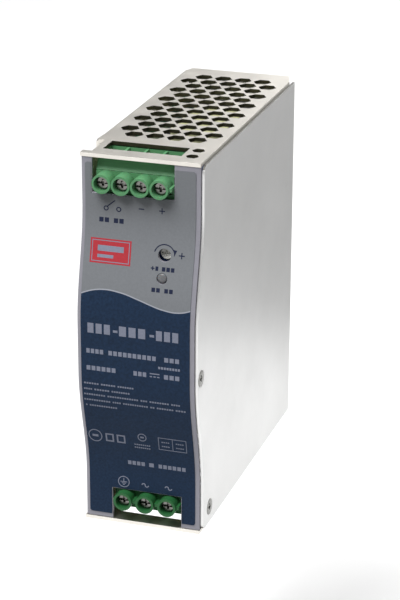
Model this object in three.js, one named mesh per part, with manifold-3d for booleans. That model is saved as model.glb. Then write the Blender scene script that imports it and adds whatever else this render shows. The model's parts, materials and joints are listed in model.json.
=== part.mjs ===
// DIN rail power supply: a narrow sheet-metal case with a waved front, hexagonal vents, two green
// screw-terminal blocks, an output trimmer, a status lamp, and a spring latch for a 35 mm rail.
//
// Millimetres, +Z up. Here X runs across the case, Y runs rearwards from the crest of the waved
// front and Z rises from the underside. At the end the whole assembly slides forward by half its
// depth, so that the origin is at the centre of its footprint.
import * as THREE from "three";
import { mergeVertices } from "three/addons/utils/BufferGeometryUtils.js";
import Module from "manifold-3d";

const wasm = await Module();
wasm.setup();

// ---------------------------------------------------------------- driving dimensions

// Case
const WIDTH = 40;
const HEIGHT = 125.2;
const DEPTH = 113.5; // crest of the front to the outer face of the rear wall
const CHASSIS_SHEET = 1.2;
const COVER_SHEET = 0.8;
const PANEL_SHEET = 1.0;
const LABEL_FILM = 0.2;
const REST_GAP = 0.1; // between pieces that rest on each other
const LABEL_GAP = 0.05;

// Waved front: flat at both ends, one long hump with a flat crest between them
const WAVE_STEP = 6; // the flat ends stand this far behind the crest
const WAVE_END_FLAT = 16.6;
const WAVE_CREST_HALF = 8;
const WAVE_STEPS = 12; // straight runs on each side of the hump

// Folded chassis
const REAR_STEP = 3.8; // rear wall stands this far behind the rear edges of the side walls
const REAR_INSET_LEFT = 2.1; // rear wall's edges stand in from the case's sides
const REAR_INSET_RIGHT = 3.15;
const REAR_TAPER = 7.5; // length over which the top and bottom sheets narrow to the rear wall
const REAR_RETURN = 6; // depth of the rear wall's bent-in edges
const RELIEF_WIDTH = 3.0; // notch where the left bend ends, at the front
const RELIEF_LENGTH = 10.8;
const RELIEF_HEIGHT = 3.2;

// Hexagonal vents
const VENT_PITCH = 7.0; // across the case; the rows are packed as a regular honeycomb
const VENT_ACROSS_CORNERS = 6.3;
const VENT_FRONT_ROW = 29.5;
const VENT_SIDE_MARGIN = 2.5; // plain sheet outside the outermost holes' pitch
const VENT_REAR_MARGIN = 11; // from the last row to the rear wall
const SMALL_VENT_ACROSS_CORNERS = 4.25;
const SMALL_VENT_FROM_RIGHT = 5.7;
const SMALL_VENT_ROWS = [12.6, 18.95];

// Front panel, its flange on the left and its screw lug on the right
const PANEL_RIGHT_GAP = 0.3; // dark joint between the panel and the side cover
const PANEL_FLANGE_DEPTH = 9.6;
const COVER_SET_BACK = 1.0; // side cover's front edge behind the front surface
const COVER_CORNER = 2.5;
const COVER_TOP_STEP = 1.1; // side cover's top edge below the top sheet's upper face
const COVER_BOTTOM_STEP = 0.9;
const LUG_DEPTH = 9.4;
const LUG_HEIGHT = 14;
const UPPER_COVER_SCREW = { y: 4.6, below: 7.2 }; // below the middle of the case
const LOWER_COVER_SCREW = { y: 14.2, z: 6.3 };
const COVER_TAB = { from: 8.3, to: 19.6, height: 11 };
const COVER_SCREW = { head: 2.8, headHeight: 0.85, shank: 1.4, hole: 1.7, length: 6 };

// Front label and what shows through it
const LABEL_LEFT_BORDER = 1.6;
const LABEL_RIGHT_BORDER = 1.3;
const LABEL_END_BORDER = 2.9;
const LABEL_CUT_BACK = 0.3;
const TRIMMER = {
  fromRight: 12.0, below: 30.1, hole: 2.1, // below the top of the case
  bodyHalf: 3.3, bodyFace: 7.0, well: 2.15, wellDepth: 1.5, rotorPlay: 0.15, rotorProud: 0.4,
};
const LAMP = {
  fromRight: 12.3, below: 37.2, hole: 1.75,
  radius: 1.55, dome: 1.3, collar: 6, collarRadius: 1.9, recess: 0.2,
};

// Screw terminals. "side" is the side of the case that the block keeps its distance from, and "reach"
// is how far the housing goes past the screw axis towards the wire side.
const OUTPUT_BLOCK = {
  name: "output", poles: 4, pitch: 6.25, side: -1, fromSide: 4.4, axisFromEnd: 8.75, proud: 3,
  bossRadius: 3.05, boreRadius: 2.35, reach: 7.1, slopeFrom: 2.9, slopeDepth: 2.7,
  openingEdge: 12.6, openingSide: 0.55, slot: { left: 1.0, right: 0.9 },
};
const INPUT_BLOCK = {
  name: "input", poles: 3, pitch: 7.5, side: 1, fromSide: 7.25, axisFromEnd: 8.9, proud: 2.5,
  bossRadius: 3.1, boreRadius: 2.3, reach: 4.5, slopeFrom: 2.6, slopeDepth: 1.2,
  openingEdge: 12.2, openingSide: 0.05, slot: { left: 0.6, right: 0.6 },
};
const BLOCK_SIDE_WALL = 0.35; // outside the outermost poles
const BLOCK_FRONT = 8.5; // front face behind the bosses
const BLOCK_DEPTH = 15.5;
const BLOCK_TAIL = 12.4; // from the screw axis to the end that faces the board
const WEB_HALF = 0.6; // thickness of the web that joins the bosses, halved
const WEB_SET_BACK = 0.9;
const WEB_LEFT_PLAY = 0.7; // from the sides of the panel's opening
const WEB_RIGHT_PLAY = 0.18;
const WIRE_SLOT = { from: 11.9, length: 8.6 };

// Rising clamp in each pole, measured rearwards from the crest
const SCREW_HEAD_RADIUS = 2.05;
const SCREW_HEAD_HEIGHT = 1.9;
const SCREW_SINK = 2.0; // head below the mouth of its boss
const SCREW_SHANK_RADIUS = 1.25;
const SHANK_PLAY = 0.15;
const SCREW_TIP = 15.2;
const SCREW_POINT = 0.4; // chamfer of the tip
const SCREW_SLOT = { half: 0.35, depth: 0.7 };
const CLAMP_TRAVEL = 3.5;
const CAGE_WALL = 1.2;
const CAGE_SIDE = 0.6;
const CAGE_HALF_HEIGHT = 2.8;
const CAGE_CLEARANCE = 0.25;
const POLE_WALL = 0.75; // between the cavities of neighbouring poles
const FUNNEL_LIP = 1; // behind the funnel that leads a wire into the clamp
const BLOCK_TAIL_WALL = 2;
const CONTACT_THICKNESS = 0.8;
const CONTACT_TAIL = 19; // from the screw axis to the soldered end
const CLOSED_GAP = 0.3; // between the contact and the cage's back wall in a closed clamp

// Cross recesses: length and width of each arm, and depth
const RECESS = {
  cover: { length: 3.0, width: 0.7, depth: 0.8 },
  terminal: { length: 2.6, width: 0.8, depth: 1.1 },
  trimmer: { length: 3.0, width: 0.7, depth: 1.0 },
  clip: { length: 2.4, width: 0.6, depth: 0.8 },
};

// Boards
const BOARD = 1.6;
const BOARD_STANDOFF = 3.1;
const FILM = 0.4;
const FILM_STANDOFF = 0.4;
const PILLAR_RADIUS = 2.4;
const PILLAR_INSET = { y: 12.5, z: 9 };
const BOARD_EDGE = 5.5; // main board's edges inside the case
const BOARD_FRONT = 17.2;
const BOARD_REAR_PLAY = 2; // from the rear wall's bent-in edges
const BOARD_NOTCH_DEPTH = 7.6;
const BLOCK_TO_BOARD = 1;
const FILM_INSET = 2;
const FILM_HOLE_PLAY = 0.6;
const FRONT_BOARD_HEIGHT = 20.9;
const INPUT_BOARD_HEIGHT = 17.5;
const UPRIGHT_PLAY = 0.5;
const UPRIGHT_TO_COVER = 4.5;

// Parts on the board
const CAN = { rim: 0.6, groove: 0.5, grooveAt: 3.2, grooveHalf: 0.7 };
const FUSE = { radius: 2.9, glass: 2.5, cap: 5 };
const SINK = { plate: 2, rib: 4, ribWidth: 1.4, toCover: 6.2 };
const DEVICE = { fromBoard: 3, length: 16, thickness: 5 };
const TRANSFORMER = { leg: 5.5, cheek: 4.5, toCover: 4.2, play: 0.3 };

// Rail clip for a 35 x 7.5 or 35 x 15 top-hat rail with a 1 mm wall
const RAIL_HEIGHT = 35;
const RAIL_WALL = 1;
const CLIP_SHEET = 1.2;
const CLIP_HALF_WIDTH = 14;
const CLIP_BELOW_RAIL = 15;
const BRIDGE_HALF_WIDTH = 9.5;
const CHANNEL_DEPTH = 2.6; // room for the latch between the rear wall and the bridge
const HOOK_PLAY = 0.3;
const HOOK_OVERLAP = 2.6;
const UPPER_HOOK_PLAY = 0.4; // over the rail's upper rim
const UPPER_HOOK_NOTCH = 3.5; // half width of the gap between the two upper hooks
const SEAT_RELIEF = 0.1; // the bridge stands back under the hooks, so that a burred rim doesn't bind
const SEAT_RELIEF_MARGIN = 0.3; // past the ends of the hooks
const LATCH_SIDE_PLAY = 0.4; // inside the bridge's side walls
const LATCH_FRONT_PLAY = 0.7; // from the rear wall
const LATCH_TRAVEL = 5;
const LATCH_TRAVEL_PLAY = 0.8; // past the latch's lowest place
const LATCH_HOOK_HALF = 6.6;
const LATCH_TAIL_HALF = 5;
const LATCH_TAIL = 12; // tail's lower end above the underside of the case
const TOOL_SLOT = { half: 2.5, above: 3, height: 2.5 }; // above the tail's lower end
const SPRING_RADIUS = 1.7;
const SPRING_WIRE_RADIUS = 0.35;
const SPRING_TURNS = 7;
const SPRING_LENGTH = 18.6;
const SPRING_PLAY = 0.4;
const SPRING_STOP = 1.2; // thickness of the tab that holds the spring's lower end
const CLIP_SCREW = { head: 2.0, headHeight: 1.6, crown: 0.5, shank: 1.4, hole: 1.6, length: 6 };

// ---------------------------------------------------------------- derived places

const LEFT = -WIDTH / 2;
const RIGHT = WIDTH / 2;
const MIDDLE = HEIGHT / 2;
const SHEET_RIGHT = RIGHT - COVER_SHEET - REST_GAP; // right edge of the folded sheet
const TAB_INSIDE = SHEET_RIGHT - CHASSIS_SHEET;
const PANEL_RIGHT = RIGHT - COVER_SHEET - PANEL_RIGHT_GAP;
const SIDE_REAR = DEPTH - REAR_STEP;
const REAR_LEFT = LEFT + REAR_INSET_LEFT;
const REAR_RIGHT = RIGHT - REAR_INSET_RIGHT;
const WALL_INSIDE = LEFT + CHASSIS_SHEET;
const BOARD_X = WALL_INSIDE + BOARD_STANDOFF;
const BOARD_FACE = BOARD_X + BOARD;
const CONTACT_FRONT = SCREW_TIP + 0.3;
const FRONT_BOARD_REAR = CONTACT_FRONT - REST_GAP;
const BRIDGE_INSIDE = DEPTH + CHANNEL_DEPTH;
const RAIL_SEAT = BRIDGE_INSIDE + CLIP_SHEET;
const HOOK_INSIDE = RAIL_SEAT + RAIL_WALL + HOOK_PLAY;
const OVERALL_DEPTH = HOOK_INSIDE + CLIP_SHEET;
const CAGE_HALF_WIDTH = (Math.min(OUTPUT_BLOCK.pitch, INPUT_BLOCK.pitch) - POLE_WALL) / 2 - CAGE_CLEARANCE;
const CONTACT_HALF_WIDTH = CAGE_HALF_WIDTH - CAGE_SIDE - REST_GAP;
const WIRE_GAP = CLAMP_TRAVEL + CLOSED_GAP; // open clamp
const TRIMMER_X = RIGHT - TRIMMER.fromRight;
const TRIMMER_Z = HEIGHT - TRIMMER.below;
const LAMP_X = RIGHT - LAMP.fromRight;
const LAMP_Z = HEIGHT - LAMP.below;
const RAIL_TOP = MIDDLE + RAIL_HEIGHT / 2;
const RAIL_BOTTOM = MIDDLE - RAIL_HEIGHT / 2;
const CLIP_SCREWS_X = [-1, 1].map((side) => (side * (CLIP_HALF_WIDTH + BRIDGE_HALF_WIDTH)) / 2);
const UPPER_SCREW_Z = MIDDLE - UPPER_COVER_SCREW.below;

// ---------------------------------------------------------------- materials

const finish = (color, roughness, metalness) =>
  new THREE.MeshStandardMaterial({ color, roughness, metalness });

const MATERIALS = {
  sheet: finish(0xe4e1db, 0.35, 0.6),
  panel: finish(0xa9a8b0, 0.5, 0.1),
  label: finish(0x7f8386, 0.55, 0),
  zinc: finish(0xb9bcbd, 0.35, 1),
  steel: finish(0x9a9c9c, 0.3, 1),
  copper: finish(0xc9b27a, 0.3, 1),
  lightGreen: finish(0x74b27d, 0.5, 0),
  darkGreen: finish(0x3d7a4b, 0.5, 0),
  board: finish(0x2f6b45, 0.6, 0),
  film: finish(0xe9e2c4, 0.3, 0),
  black: finish(0x26272a, 0.45, 0),
  blue: finish(0x24365c, 0.4, 0),
  yellow: finish(0xd7d58c, 0.5, 0),
  ferrite: finish(0x3b3d40, 0.7, 0),
  aluminium: finish(0xb4b7ba, 0.4, 0.9),
  white: finish(0xe8e8e4, 0.5, 0),
  lamp: finish(0x9a9c9a, 0.3, 0),
  glass: finish(0xcfd8d6, 0.1, 0),
};

// ---------------------------------------------------------------- solids

const AXES = {
  x: new THREE.Vector3(1, 0, 0),
  y: new THREE.Vector3(0, 1, 0),
  z: new THREE.Vector3(0, 0, 1),
};

// Turns a shape drawn in its own XY plane and raised along Z to face along a case axis.
const TURN = {
  x: new THREE.Matrix4().makeBasis(AXES.y, AXES.z, AXES.x),
  y: new THREE.Matrix4().makeBasis(AXES.z, AXES.x, AXES.y),
  z: new THREE.Matrix4(),
};

/** A closed manifold solid from a three.js geometry. */
function solidOf(geometry) {
  const bare = geometry.index ? geometry.toNonIndexed() : geometry.clone();
  bare.deleteAttribute("normal");
  bare.deleteAttribute("uv");
  const merged = mergeVertices(bare, 1e-4);
  const corners = [];
  const index = merged.index.array;
  for (let i = 0; i < index.length; i += 3) {
    const [a, b, c] = [index[i], index[i + 1], index[i + 2]];
    if (a !== b && b !== c && c !== a) corners.push(a, b, c);
  }
  const mesh = (list) =>
    new wasm.Mesh({
      numProp: 3,
      vertProperties: merged.attributes.position.array,
      triVerts: new Uint32Array(list),
    });
  const solid = new wasm.Manifold(mesh(corners));
  return solid.volume() > 0 ? solid : new wasm.Manifold(mesh(corners.reverse()));
}

/** A prism along an axis. The outline holds the other two coordinates, in X, Y, Z order. */
function prism(outline, axis, from, to) {
  const points = outline.map(([a, b]) => new THREE.Vector2(...(axis === "y" ? [b, a] : [a, b])));
  const geometry = new THREE.ExtrudeGeometry(new THREE.Shape(points), {
    depth: Math.abs(to - from),
    bevelEnabled: false,
  });
  return solidOf(geometry.translate(0, 0, Math.min(from, to)).applyMatrix4(TURN[axis]));
}

/** A box between two corners, each given as two ends in either order. */
function box([x0, x1], [y0, y1], [z0, z1]) {
  return prism([[x0, y0], [x1, y0], [x1, y1], [x0, y1]], "z", z0, z1);
}

/** A straight-sided ring of points round (a, b). */
function ring(a, b, radius, sides, turn = 0) {
  return Array.from({ length: sides }, (_, i) => {
    const angle = turn + (2 * Math.PI * i) / sides;
    return [a + radius * Math.cos(angle), b + radius * Math.sin(angle)];
  });
}

/** A round rod along an axis through (a, b). */
const rod = (axis, a, b, radius, from, to, sides = 16) => prism(ring(a, b, radius, sides), axis, from, to);

/** A turned piece: the profile holds [radius, place along the axis] and starts and ends on the axis. */
function turned(axis, a, b, profile, sides = 16) {
  const geometry = new THREE.LatheGeometry(
    profile.map(([radius, along]) => new THREE.Vector2(radius, along)),
    sides,
  );
  geometry.rotateX(Math.PI / 2);
  geometry.translate(...(axis === "y" ? [b, a, 0] : [a, b, 0]));
  return solidOf(geometry.applyMatrix4(TURN[axis]));
}

const join = (first, ...others) => others.reduce((all, next) => all.add(next), first);
const cut = (first, ...others) => others.reduce((all, next) => all.subtract(next), first);

const root = new THREE.Group();
root.position.y = -OVERALL_DEPTH / 2;

/** Adds a solid to the assembly as a named mesh. */
function piece(name, solid, material) {
  const mesh = solid.getMesh();
  const geometry = new THREE.BufferGeometry();
  geometry.setAttribute("position", new THREE.BufferAttribute(new Float32Array(mesh.vertProperties), 3));
  geometry.setIndex(new THREE.BufferAttribute(new Uint32Array(mesh.triVerts), 1));
  geometry.computeVertexNormals();
  const node = new THREE.Mesh(geometry, material);
  node.name = name;
  root.add(node);
}

// ---------------------------------------------------------------- waved front

/** How far the front surface stands behind its crest at a height. */
function frontAt(z) {
  const run = MIDDLE - WAVE_END_FLAT - WAVE_CREST_HALF;
  const along = THREE.MathUtils.clamp((Math.abs(z - MIDDLE) - WAVE_CREST_HALF) / run, 0, 1);
  return (WAVE_STEP * (1 - Math.cos(Math.PI * along))) / 2;
}

/** Heights at which the front is sampled between two ends. */
function waveHeights(from, to) {
  const run = MIDDLE - WAVE_END_FLAT - WAVE_CREST_HALF;
  const offsets = Array.from({ length: WAVE_STEPS + 1 }, (_, i) => WAVE_CREST_HALF + (run * i) / WAVE_STEPS);
  const inside = [...offsets.map((d) => MIDDLE - d).reverse(), ...offsets.map((d) => MIDDLE + d)];
  return [from, ...inside.filter((z) => z > from && z < to), to];
}

/** Outline, in Y and Z, of a skin that follows the front between two set-backs from its surface. */
function waveSkin(from, to, outer, inner) {
  const heights = waveHeights(from, to);
  return [
    ...heights.map((z) => [frontAt(z) + outer, z]),
    ...heights.reverse().map((z) => [frontAt(z) + inner, z]),
  ];
}

/** Outline, in Y and Z, of a plate whose front edge follows the wave and whose rear edge is straight. */
function waveEdged(from, to, setBack, rear) {
  return [...waveHeights(from, to).map((z) => [frontAt(z) + setBack, z]), [rear, to], [rear, from]];
}

// ---------------------------------------------------------------- terminal layout

/** Heights of a block: it stands up under the top sheet or hangs over the bottom sheet. */
function layOut(block, up) {
  const width = block.poles * block.pitch + 2 * BLOCK_SIDE_WALL;
  const centre = block.side * (WIDTH / 2 - block.fromSide - width / 2);
  const axis = up > 0 ? HEIGHT - block.axisFromEnd : block.axisFromEnd;
  return {
    ...block,
    axis,
    at: (offset) => axis + up * offset,
    span: [centre - width / 2, centre + width / 2],
    opening: [centre - width / 2 - block.openingSide, centre + width / 2 + block.openingSide],
    openingFrom: up > 0 ? HEIGHT - block.openingEdge : block.openingEdge,
    openingTo: up > 0 ? HEIGHT + 1 : -1,
    mouth: WAVE_STEP - block.proud,
    columns: Array.from(
      { length: block.poles },
      (_, i) => centre + (i - (block.poles - 1) / 2) * block.pitch,
    ),
  };
}
const output = layOut(OUTPUT_BLOCK, 1);
const input = layOut(INPUT_BLOCK, -1);

/** The panel's opening round a block, widened by a margin. */
const openingCut = (block, margin = 0) =>
  box(
    [block.opening[0] - margin, block.opening[1] + margin],
    [-5, WAVE_STEP + 5],
    [block.openingFrom - margin * Math.sign(block.openingTo - block.openingFrom), block.openingTo],
  );

// ---------------------------------------------------------------- case

/** Hexagons of the honeycomb and the two small ones, as prisms through the whole case. */
function ventPrisms() {
  const hexagon = (x, y, across) => prism(ring(x, y, across / 2, 6), "z", -1, HEIGHT + 1);
  const rowPitch = (VENT_PITCH * Math.sqrt(3)) / 2;
  const rows = Math.floor((DEPTH - VENT_REAR_MARGIN - VENT_FRONT_ROW) / rowPitch) + 1;
  const longRow = Math.floor((WIDTH - 2 * VENT_SIDE_MARGIN) / VENT_PITCH);
  const smallVentX = RIGHT - SMALL_VENT_FROM_RIGHT;
  const vents = SMALL_VENT_ROWS.map((y) => hexagon(smallVentX, y, SMALL_VENT_ACROSS_CORNERS));
  for (let row = 0; row < rows; row += 1) {
    const count = row % 2 ? longRow : longRow - 1;
    for (let i = 0; i < count; i += 1) {
      const x = (i - (count - 1) / 2) * VENT_PITCH;
      vents.push(hexagon(x, VENT_FRONT_ROW + row * rowPitch, VENT_ACROSS_CORNERS));
    }
  }
  return vents;
}

/** Slot in the top or bottom sheet through which the wires reach a block. */
function wireSlot(block, z) {
  return box(
    [block.span[0] + block.slot.left, block.span[1] + block.slot.right],
    [WIRE_SLOT.from, WIRE_SLOT.from + WIRE_SLOT.length],
    [z - CHASSIS_SHEET - 1, z + CHASSIS_SHEET + 1],
  );
}

function chassis() {
  const taper = DEPTH - REAR_TAPER;
  const sheet = [
    [LEFT, WAVE_STEP], [SHEET_RIGHT, WAVE_STEP], [SHEET_RIGHT, taper],
    [REAR_RIGHT, DEPTH], [REAR_LEFT, DEPTH], [LEFT, taper],
  ];
  const wallFrom = PANEL_FLANGE_DEPTH + REST_GAP;
  const returnEdge = (x) => box([x, x + CHASSIS_SHEET], [DEPTH - REAR_RETURN, DEPTH], [0, HEIGHT]);
  const folded = join(
    prism(sheet, "z", HEIGHT - CHASSIS_SHEET, HEIGHT),
    prism(sheet, "z", 0, CHASSIS_SHEET),
    box([LEFT, WALL_INSIDE], [wallFrom, SIDE_REAR], [0, HEIGHT]),
    box([REAR_LEFT, REAR_RIGHT], [DEPTH - CHASSIS_SHEET, DEPTH], [0, HEIGHT]),
    returnEdge(REAR_LEFT),
    returnEdge(REAR_RIGHT - CHASSIS_SHEET),
    box([TAB_INSIDE, SHEET_RIGHT], [COVER_TAB.from, COVER_TAB.to], [0, COVER_TAB.height]),
  );
  const reliefEnds = [wallFrom - 1, wallFrom + RELIEF_LENGTH];
  const relief = (z) =>
    box([LEFT - 1, LEFT + RELIEF_WIDTH], reliefEnds, [z - RELIEF_HEIGHT, z + RELIEF_HEIGHT]);
  return cut(
    folded,
    ...ventPrisms(),
    wireSlot(output, HEIGHT),
    wireSlot(input, 0),
    relief(HEIGHT),
    relief(0),
    rod("x", LOWER_COVER_SCREW.y, LOWER_COVER_SCREW.z, COVER_SCREW.hole, RIGHT - 5, RIGHT),
    ...CLIP_SCREWS_X.map((x) => rod("y", x, MIDDLE, CLIP_SCREW.hole, DEPTH - CLIP_SCREW.length, DEPTH + 1)),
  );
}

function sideCover() {
  const bottom = COVER_BOTTOM_STEP;
  const top = HEIGHT - COVER_TOP_STEP;
  const plate = prism(waveEdged(bottom, top, COVER_SET_BACK, SIDE_REAR), "x", RIGHT - COVER_SHEET, RIGHT);
  const front = WAVE_STEP + COVER_SET_BACK;
  const corner = (z, up) =>
    prism(
      [[front - 1, z + up], [front + COVER_CORNER, z + up], [front - 1, z - up * COVER_CORNER]],
      "x", RIGHT - 2, RIGHT + 1,
    );
  const seat = (y, z) =>
    turned("x", y, z, [
      [0, RIGHT - 2], [COVER_SCREW.hole, RIGHT - 2], [COVER_SCREW.hole, RIGHT - COVER_SCREW.headHeight],
      [COVER_SCREW.head + 0.3, RIGHT + 0.1], [0, RIGHT + 0.1],
    ]);
  return cut(
    plate,
    corner(top, 1),
    corner(bottom, -1),
    seat(UPPER_COVER_SCREW.y, UPPER_SCREW_Z),
    seat(LOWER_COVER_SCREW.y, LOWER_COVER_SCREW.z),
  );
}

function frontPanel() {
  const face = LABEL_FILM + LABEL_GAP;
  const from = CHASSIS_SHEET + REST_GAP;
  const to = HEIGHT - CHASSIS_SHEET - REST_GAP;
  const flange = waveEdged(from, to, face, PANEL_FLANGE_DEPTH);
  const lugFrom = UPPER_SCREW_Z - LUG_HEIGHT / 2;
  const lug = waveEdged(lugFrom, lugFrom + LUG_HEIGHT, face, LUG_DEPTH);
  const formed = join(
    prism(waveSkin(from, to, face, face + PANEL_SHEET), "x", LEFT, PANEL_RIGHT),
    prism(flange, "x", LEFT, LEFT + PANEL_SHEET),
    prism(lug, "x", PANEL_RIGHT - PANEL_SHEET, PANEL_RIGHT),
  );
  return cut(
    formed,
    openingCut(output),
    openingCut(input),
    rod("y", TRIMMER_X, TRIMMER_Z, TRIMMER.hole, -1, WAVE_STEP + 3, 24),
    rod("y", LAMP_X, LAMP_Z, LAMP.hole, -1, WAVE_STEP + 3, 24),
    rod("x", UPPER_COVER_SCREW.y, UPPER_SCREW_Z, COVER_SCREW.hole, RIGHT - 5, RIGHT),
  );
}

function frontLabel() {
  const skin = waveSkin(LABEL_END_BORDER, HEIGHT - LABEL_END_BORDER, 0, LABEL_FILM);
  return cut(
    prism(skin, "x", LEFT + LABEL_LEFT_BORDER, PANEL_RIGHT - LABEL_RIGHT_BORDER),
    openingCut(output, LABEL_CUT_BACK),
    openingCut(input, LABEL_CUT_BACK),
    rod("y", TRIMMER_X, TRIMMER_Z, TRIMMER.hole, -1, WAVE_STEP + 3, 24),
    rod("y", LAMP_X, LAMP_Z, LAMP.hole, -1, WAVE_STEP + 3, 24),
  );
}

/** Countersunk screw that holds the side cover, flush with its outer face. */
function coverScrew(y, z) {
  const { head, headHeight, shank, length } = COVER_SCREW;
  const screw = turned("x", y, z, [
    [0, RIGHT - length], [shank, RIGHT - length], [shank, RIGHT - headHeight], [head, RIGHT], [0, RIGHT],
  ]);
  return cut(screw, ...crossRecess("x", y, z, RIGHT, -1, RECESS.cover));
}

/** Cross recess in a head whose face is at "face"; "into" is the way into the metal along the axis. */
function crossRecess(axis, a, b, face, into, { length, width, depth }) {
  const bar = (la, lb) =>
    prism(
      [[a - la, b - lb], [a + la, b - lb], [a + la, b + lb], [a - la, b + lb]],
      axis, face - into * 0.5, face + into * depth,
    );
  return [bar(length / 2, width / 2), bar(width / 2, length / 2)];
}

piece("chassis", chassis(), MATERIALS.sheet);
piece("side_cover", sideCover(), MATERIALS.sheet);
piece("front_panel", frontPanel(), MATERIALS.panel);
piece("front_label", frontLabel(), MATERIALS.label);
piece("cover_screw_upper", coverScrew(UPPER_COVER_SCREW.y, UPPER_SCREW_Z), MATERIALS.steel);
piece("cover_screw_lower", coverScrew(LOWER_COVER_SCREW.y, LOWER_COVER_SCREW.z), MATERIALS.steel);

// ---------------------------------------------------------------- screw terminals

const CAGE_BACK = CONTACT_FRONT + CONTACT_THICKNESS + WIRE_GAP; // inner face of the cage's back wall
const CAGE_FRONT = BLOCK_FRONT + CLAMP_TRAVEL + CAGE_CLEARANCE;
const CAVITY_FRONT = CAGE_FRONT - CLAMP_TRAVEL - CAGE_CLEARANCE;

function terminalHousing(block) {
  const { at, columns, mouth, bossRadius, boreRadius, span, reach } = block;
  const rear = BLOCK_FRONT + BLOCK_DEPTH;
  const profile = [
    [BLOCK_FRONT, at(-BLOCK_TAIL)], [BLOCK_FRONT, at(block.slopeFrom)],
    [BLOCK_FRONT + block.slopeDepth, at(reach)], [rear, at(reach)], [rear, at(-BLOCK_TAIL)],
  ];
  const web = [block.opening[0] + WEB_LEFT_PLAY, block.opening[1] - WEB_RIGHT_PLAY];
  const moulding = join(
    prism(profile, "x", ...span),
    box(web, [mouth + WEB_SET_BACK, BLOCK_FRONT + 1], [at(-WEB_HALF), at(WEB_HALF)]),
    ...columns.map((x) => rod("y", x, block.axis, bossRadius, mouth, BLOCK_FRONT + 1, 24)),
  );
  const seat = mouth + SCREW_SINK + SCREW_HEAD_HEIGHT + REST_GAP;
  const cavityWidth = CAGE_HALF_WIDTH + CAGE_CLEARANCE;
  const cavityHeight = CAGE_HALF_HEIGHT + CAGE_CLEARANCE;
  const cavityRear = CAGE_BACK + CAGE_WALL + CAGE_CLEARANCE;
  const contactWidth = CONTACT_HALF_WIDTH + 2 * REST_GAP;
  const shankHole = SCREW_SHANK_RADIUS + SHANK_PLAY;
  const cuts = columns.flatMap((x) => {
    const cavity = [x - cavityWidth, x + cavityWidth];
    const contact = [x - contactWidth, x + contactWidth];
    return [
      rod("y", x, block.axis, boreRadius, mouth - 1, seat, 20),
      rod("y", x, block.axis, shankHole, mouth, CONTACT_FRONT),
      box(cavity, [CAVITY_FRONT, cavityRear], [at(-cavityHeight), at(cavityHeight)]),
      box(cavity, [CAGE_FRONT, cavityRear - FUNNEL_LIP], [at(cavityHeight - 1), at(reach + 1)]),
      box(contact, [CAGE_FRONT + 1, CAGE_BACK], [at(-BLOCK_TAIL + BLOCK_TAIL_WALL), at(0)]),
      box(
        contact,
        [CONTACT_FRONT - REST_GAP, CONTACT_FRONT + CONTACT_THICKNESS + REST_GAP],
        [at(-BLOCK_TAIL - 1), at(0)],
      ),
    ];
  });
  return cut(moulding, ...cuts);
}

/** Captive screw of one pole, with a combined slot and cross recess. */
function terminalScrew(block, x) {
  const face = block.mouth + SCREW_SINK;
  const underHead = face + SCREW_HEAD_HEIGHT;
  const screw = turned("y", x, block.axis, [
    [0, face], [SCREW_HEAD_RADIUS, face], [SCREW_HEAD_RADIUS, underHead], [SCREW_SHANK_RADIUS, underHead],
    [SCREW_SHANK_RADIUS, SCREW_TIP - SCREW_POINT], [SCREW_SHANK_RADIUS - SCREW_POINT, SCREW_TIP],
    [0, SCREW_TIP],
  ]);
  const slot = box(
    [x - SCREW_HEAD_RADIUS - 1, x + SCREW_HEAD_RADIUS + 1],
    [face - 1, face + SCREW_SLOT.depth],
    [block.axis - SCREW_SLOT.half, block.axis + SCREW_SLOT.half],
  );
  return cut(screw, slot, ...crossRecess("y", x, block.axis, face, 1, RECESS.terminal));
}

/** Clamp cage of one pole: a square loop round the wire space, threaded on the screw. */
function clampCage(block, x) {
  const height = [block.at(-CAGE_HALF_HEIGHT), block.at(CAGE_HALF_HEIGHT)];
  const past = [block.at(-CAGE_HALF_HEIGHT - 1), block.at(CAGE_HALF_HEIGHT + 1)];
  const inner = CAGE_HALF_WIDTH - CAGE_SIDE;
  return cut(
    box([x - CAGE_HALF_WIDTH, x + CAGE_HALF_WIDTH], [CAGE_FRONT, CAGE_BACK + CAGE_WALL], height),
    box([x - inner, x + inner], [CAGE_FRONT + CAGE_WALL, CAGE_BACK], past),
    rod("y", x, block.axis, SCREW_SHANK_RADIUS + REST_GAP, CAGE_FRONT - 1, CAGE_BACK - 1),
  );
}

/** Contact bar that the wire is clamped against; its tail is soldered to a board. */
function contactBar(block, x) {
  return box(
    [x - CONTACT_HALF_WIDTH, x + CONTACT_HALF_WIDTH],
    [CONTACT_FRONT, CONTACT_FRONT + CONTACT_THICKNESS],
    [block.at(-CONTACT_TAIL), block.at(CAGE_HALF_HEIGHT)],
  );
}

for (const [block, material] of [[output, MATERIALS.lightGreen], [input, MATERIALS.darkGreen]]) {
  piece(`${block.name}_terminal_housing`, terminalHousing(block), material);
  block.columns.forEach((x, i) => {
    piece(`${block.name}_terminal_screw_${i + 1}`, terminalScrew(block, x), MATERIALS.steel);
    piece(`${block.name}_clamp_cage_${i + 1}`, clampCage(block, x), MATERIALS.zinc);
    piece(`${block.name}_contact_${i + 1}`, contactBar(block, x), MATERIALS.copper);
  });
}

// ---------------------------------------------------------------- boards, trimmer and lamp

const BOARD_LOW = BOARD_EDGE;
const BOARD_HIGH = HEIGHT - BOARD_EDGE;
const BOARD_REAR = DEPTH - REAR_RETURN - BOARD_REAR_PLAY;
const OUTPUT_TAIL = output.at(-BLOCK_TAIL);
const INPUT_TAIL = input.at(-BLOCK_TAIL);
const PILLARS = [BOARD_FRONT + PILLAR_INSET.y, BOARD_REAR - PILLAR_INSET.y].flatMap((y) =>
  [BOARD_LOW + PILLAR_INSET.z, BOARD_HIGH - PILLAR_INSET.z].map((z) => [y, z]),
);

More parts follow.
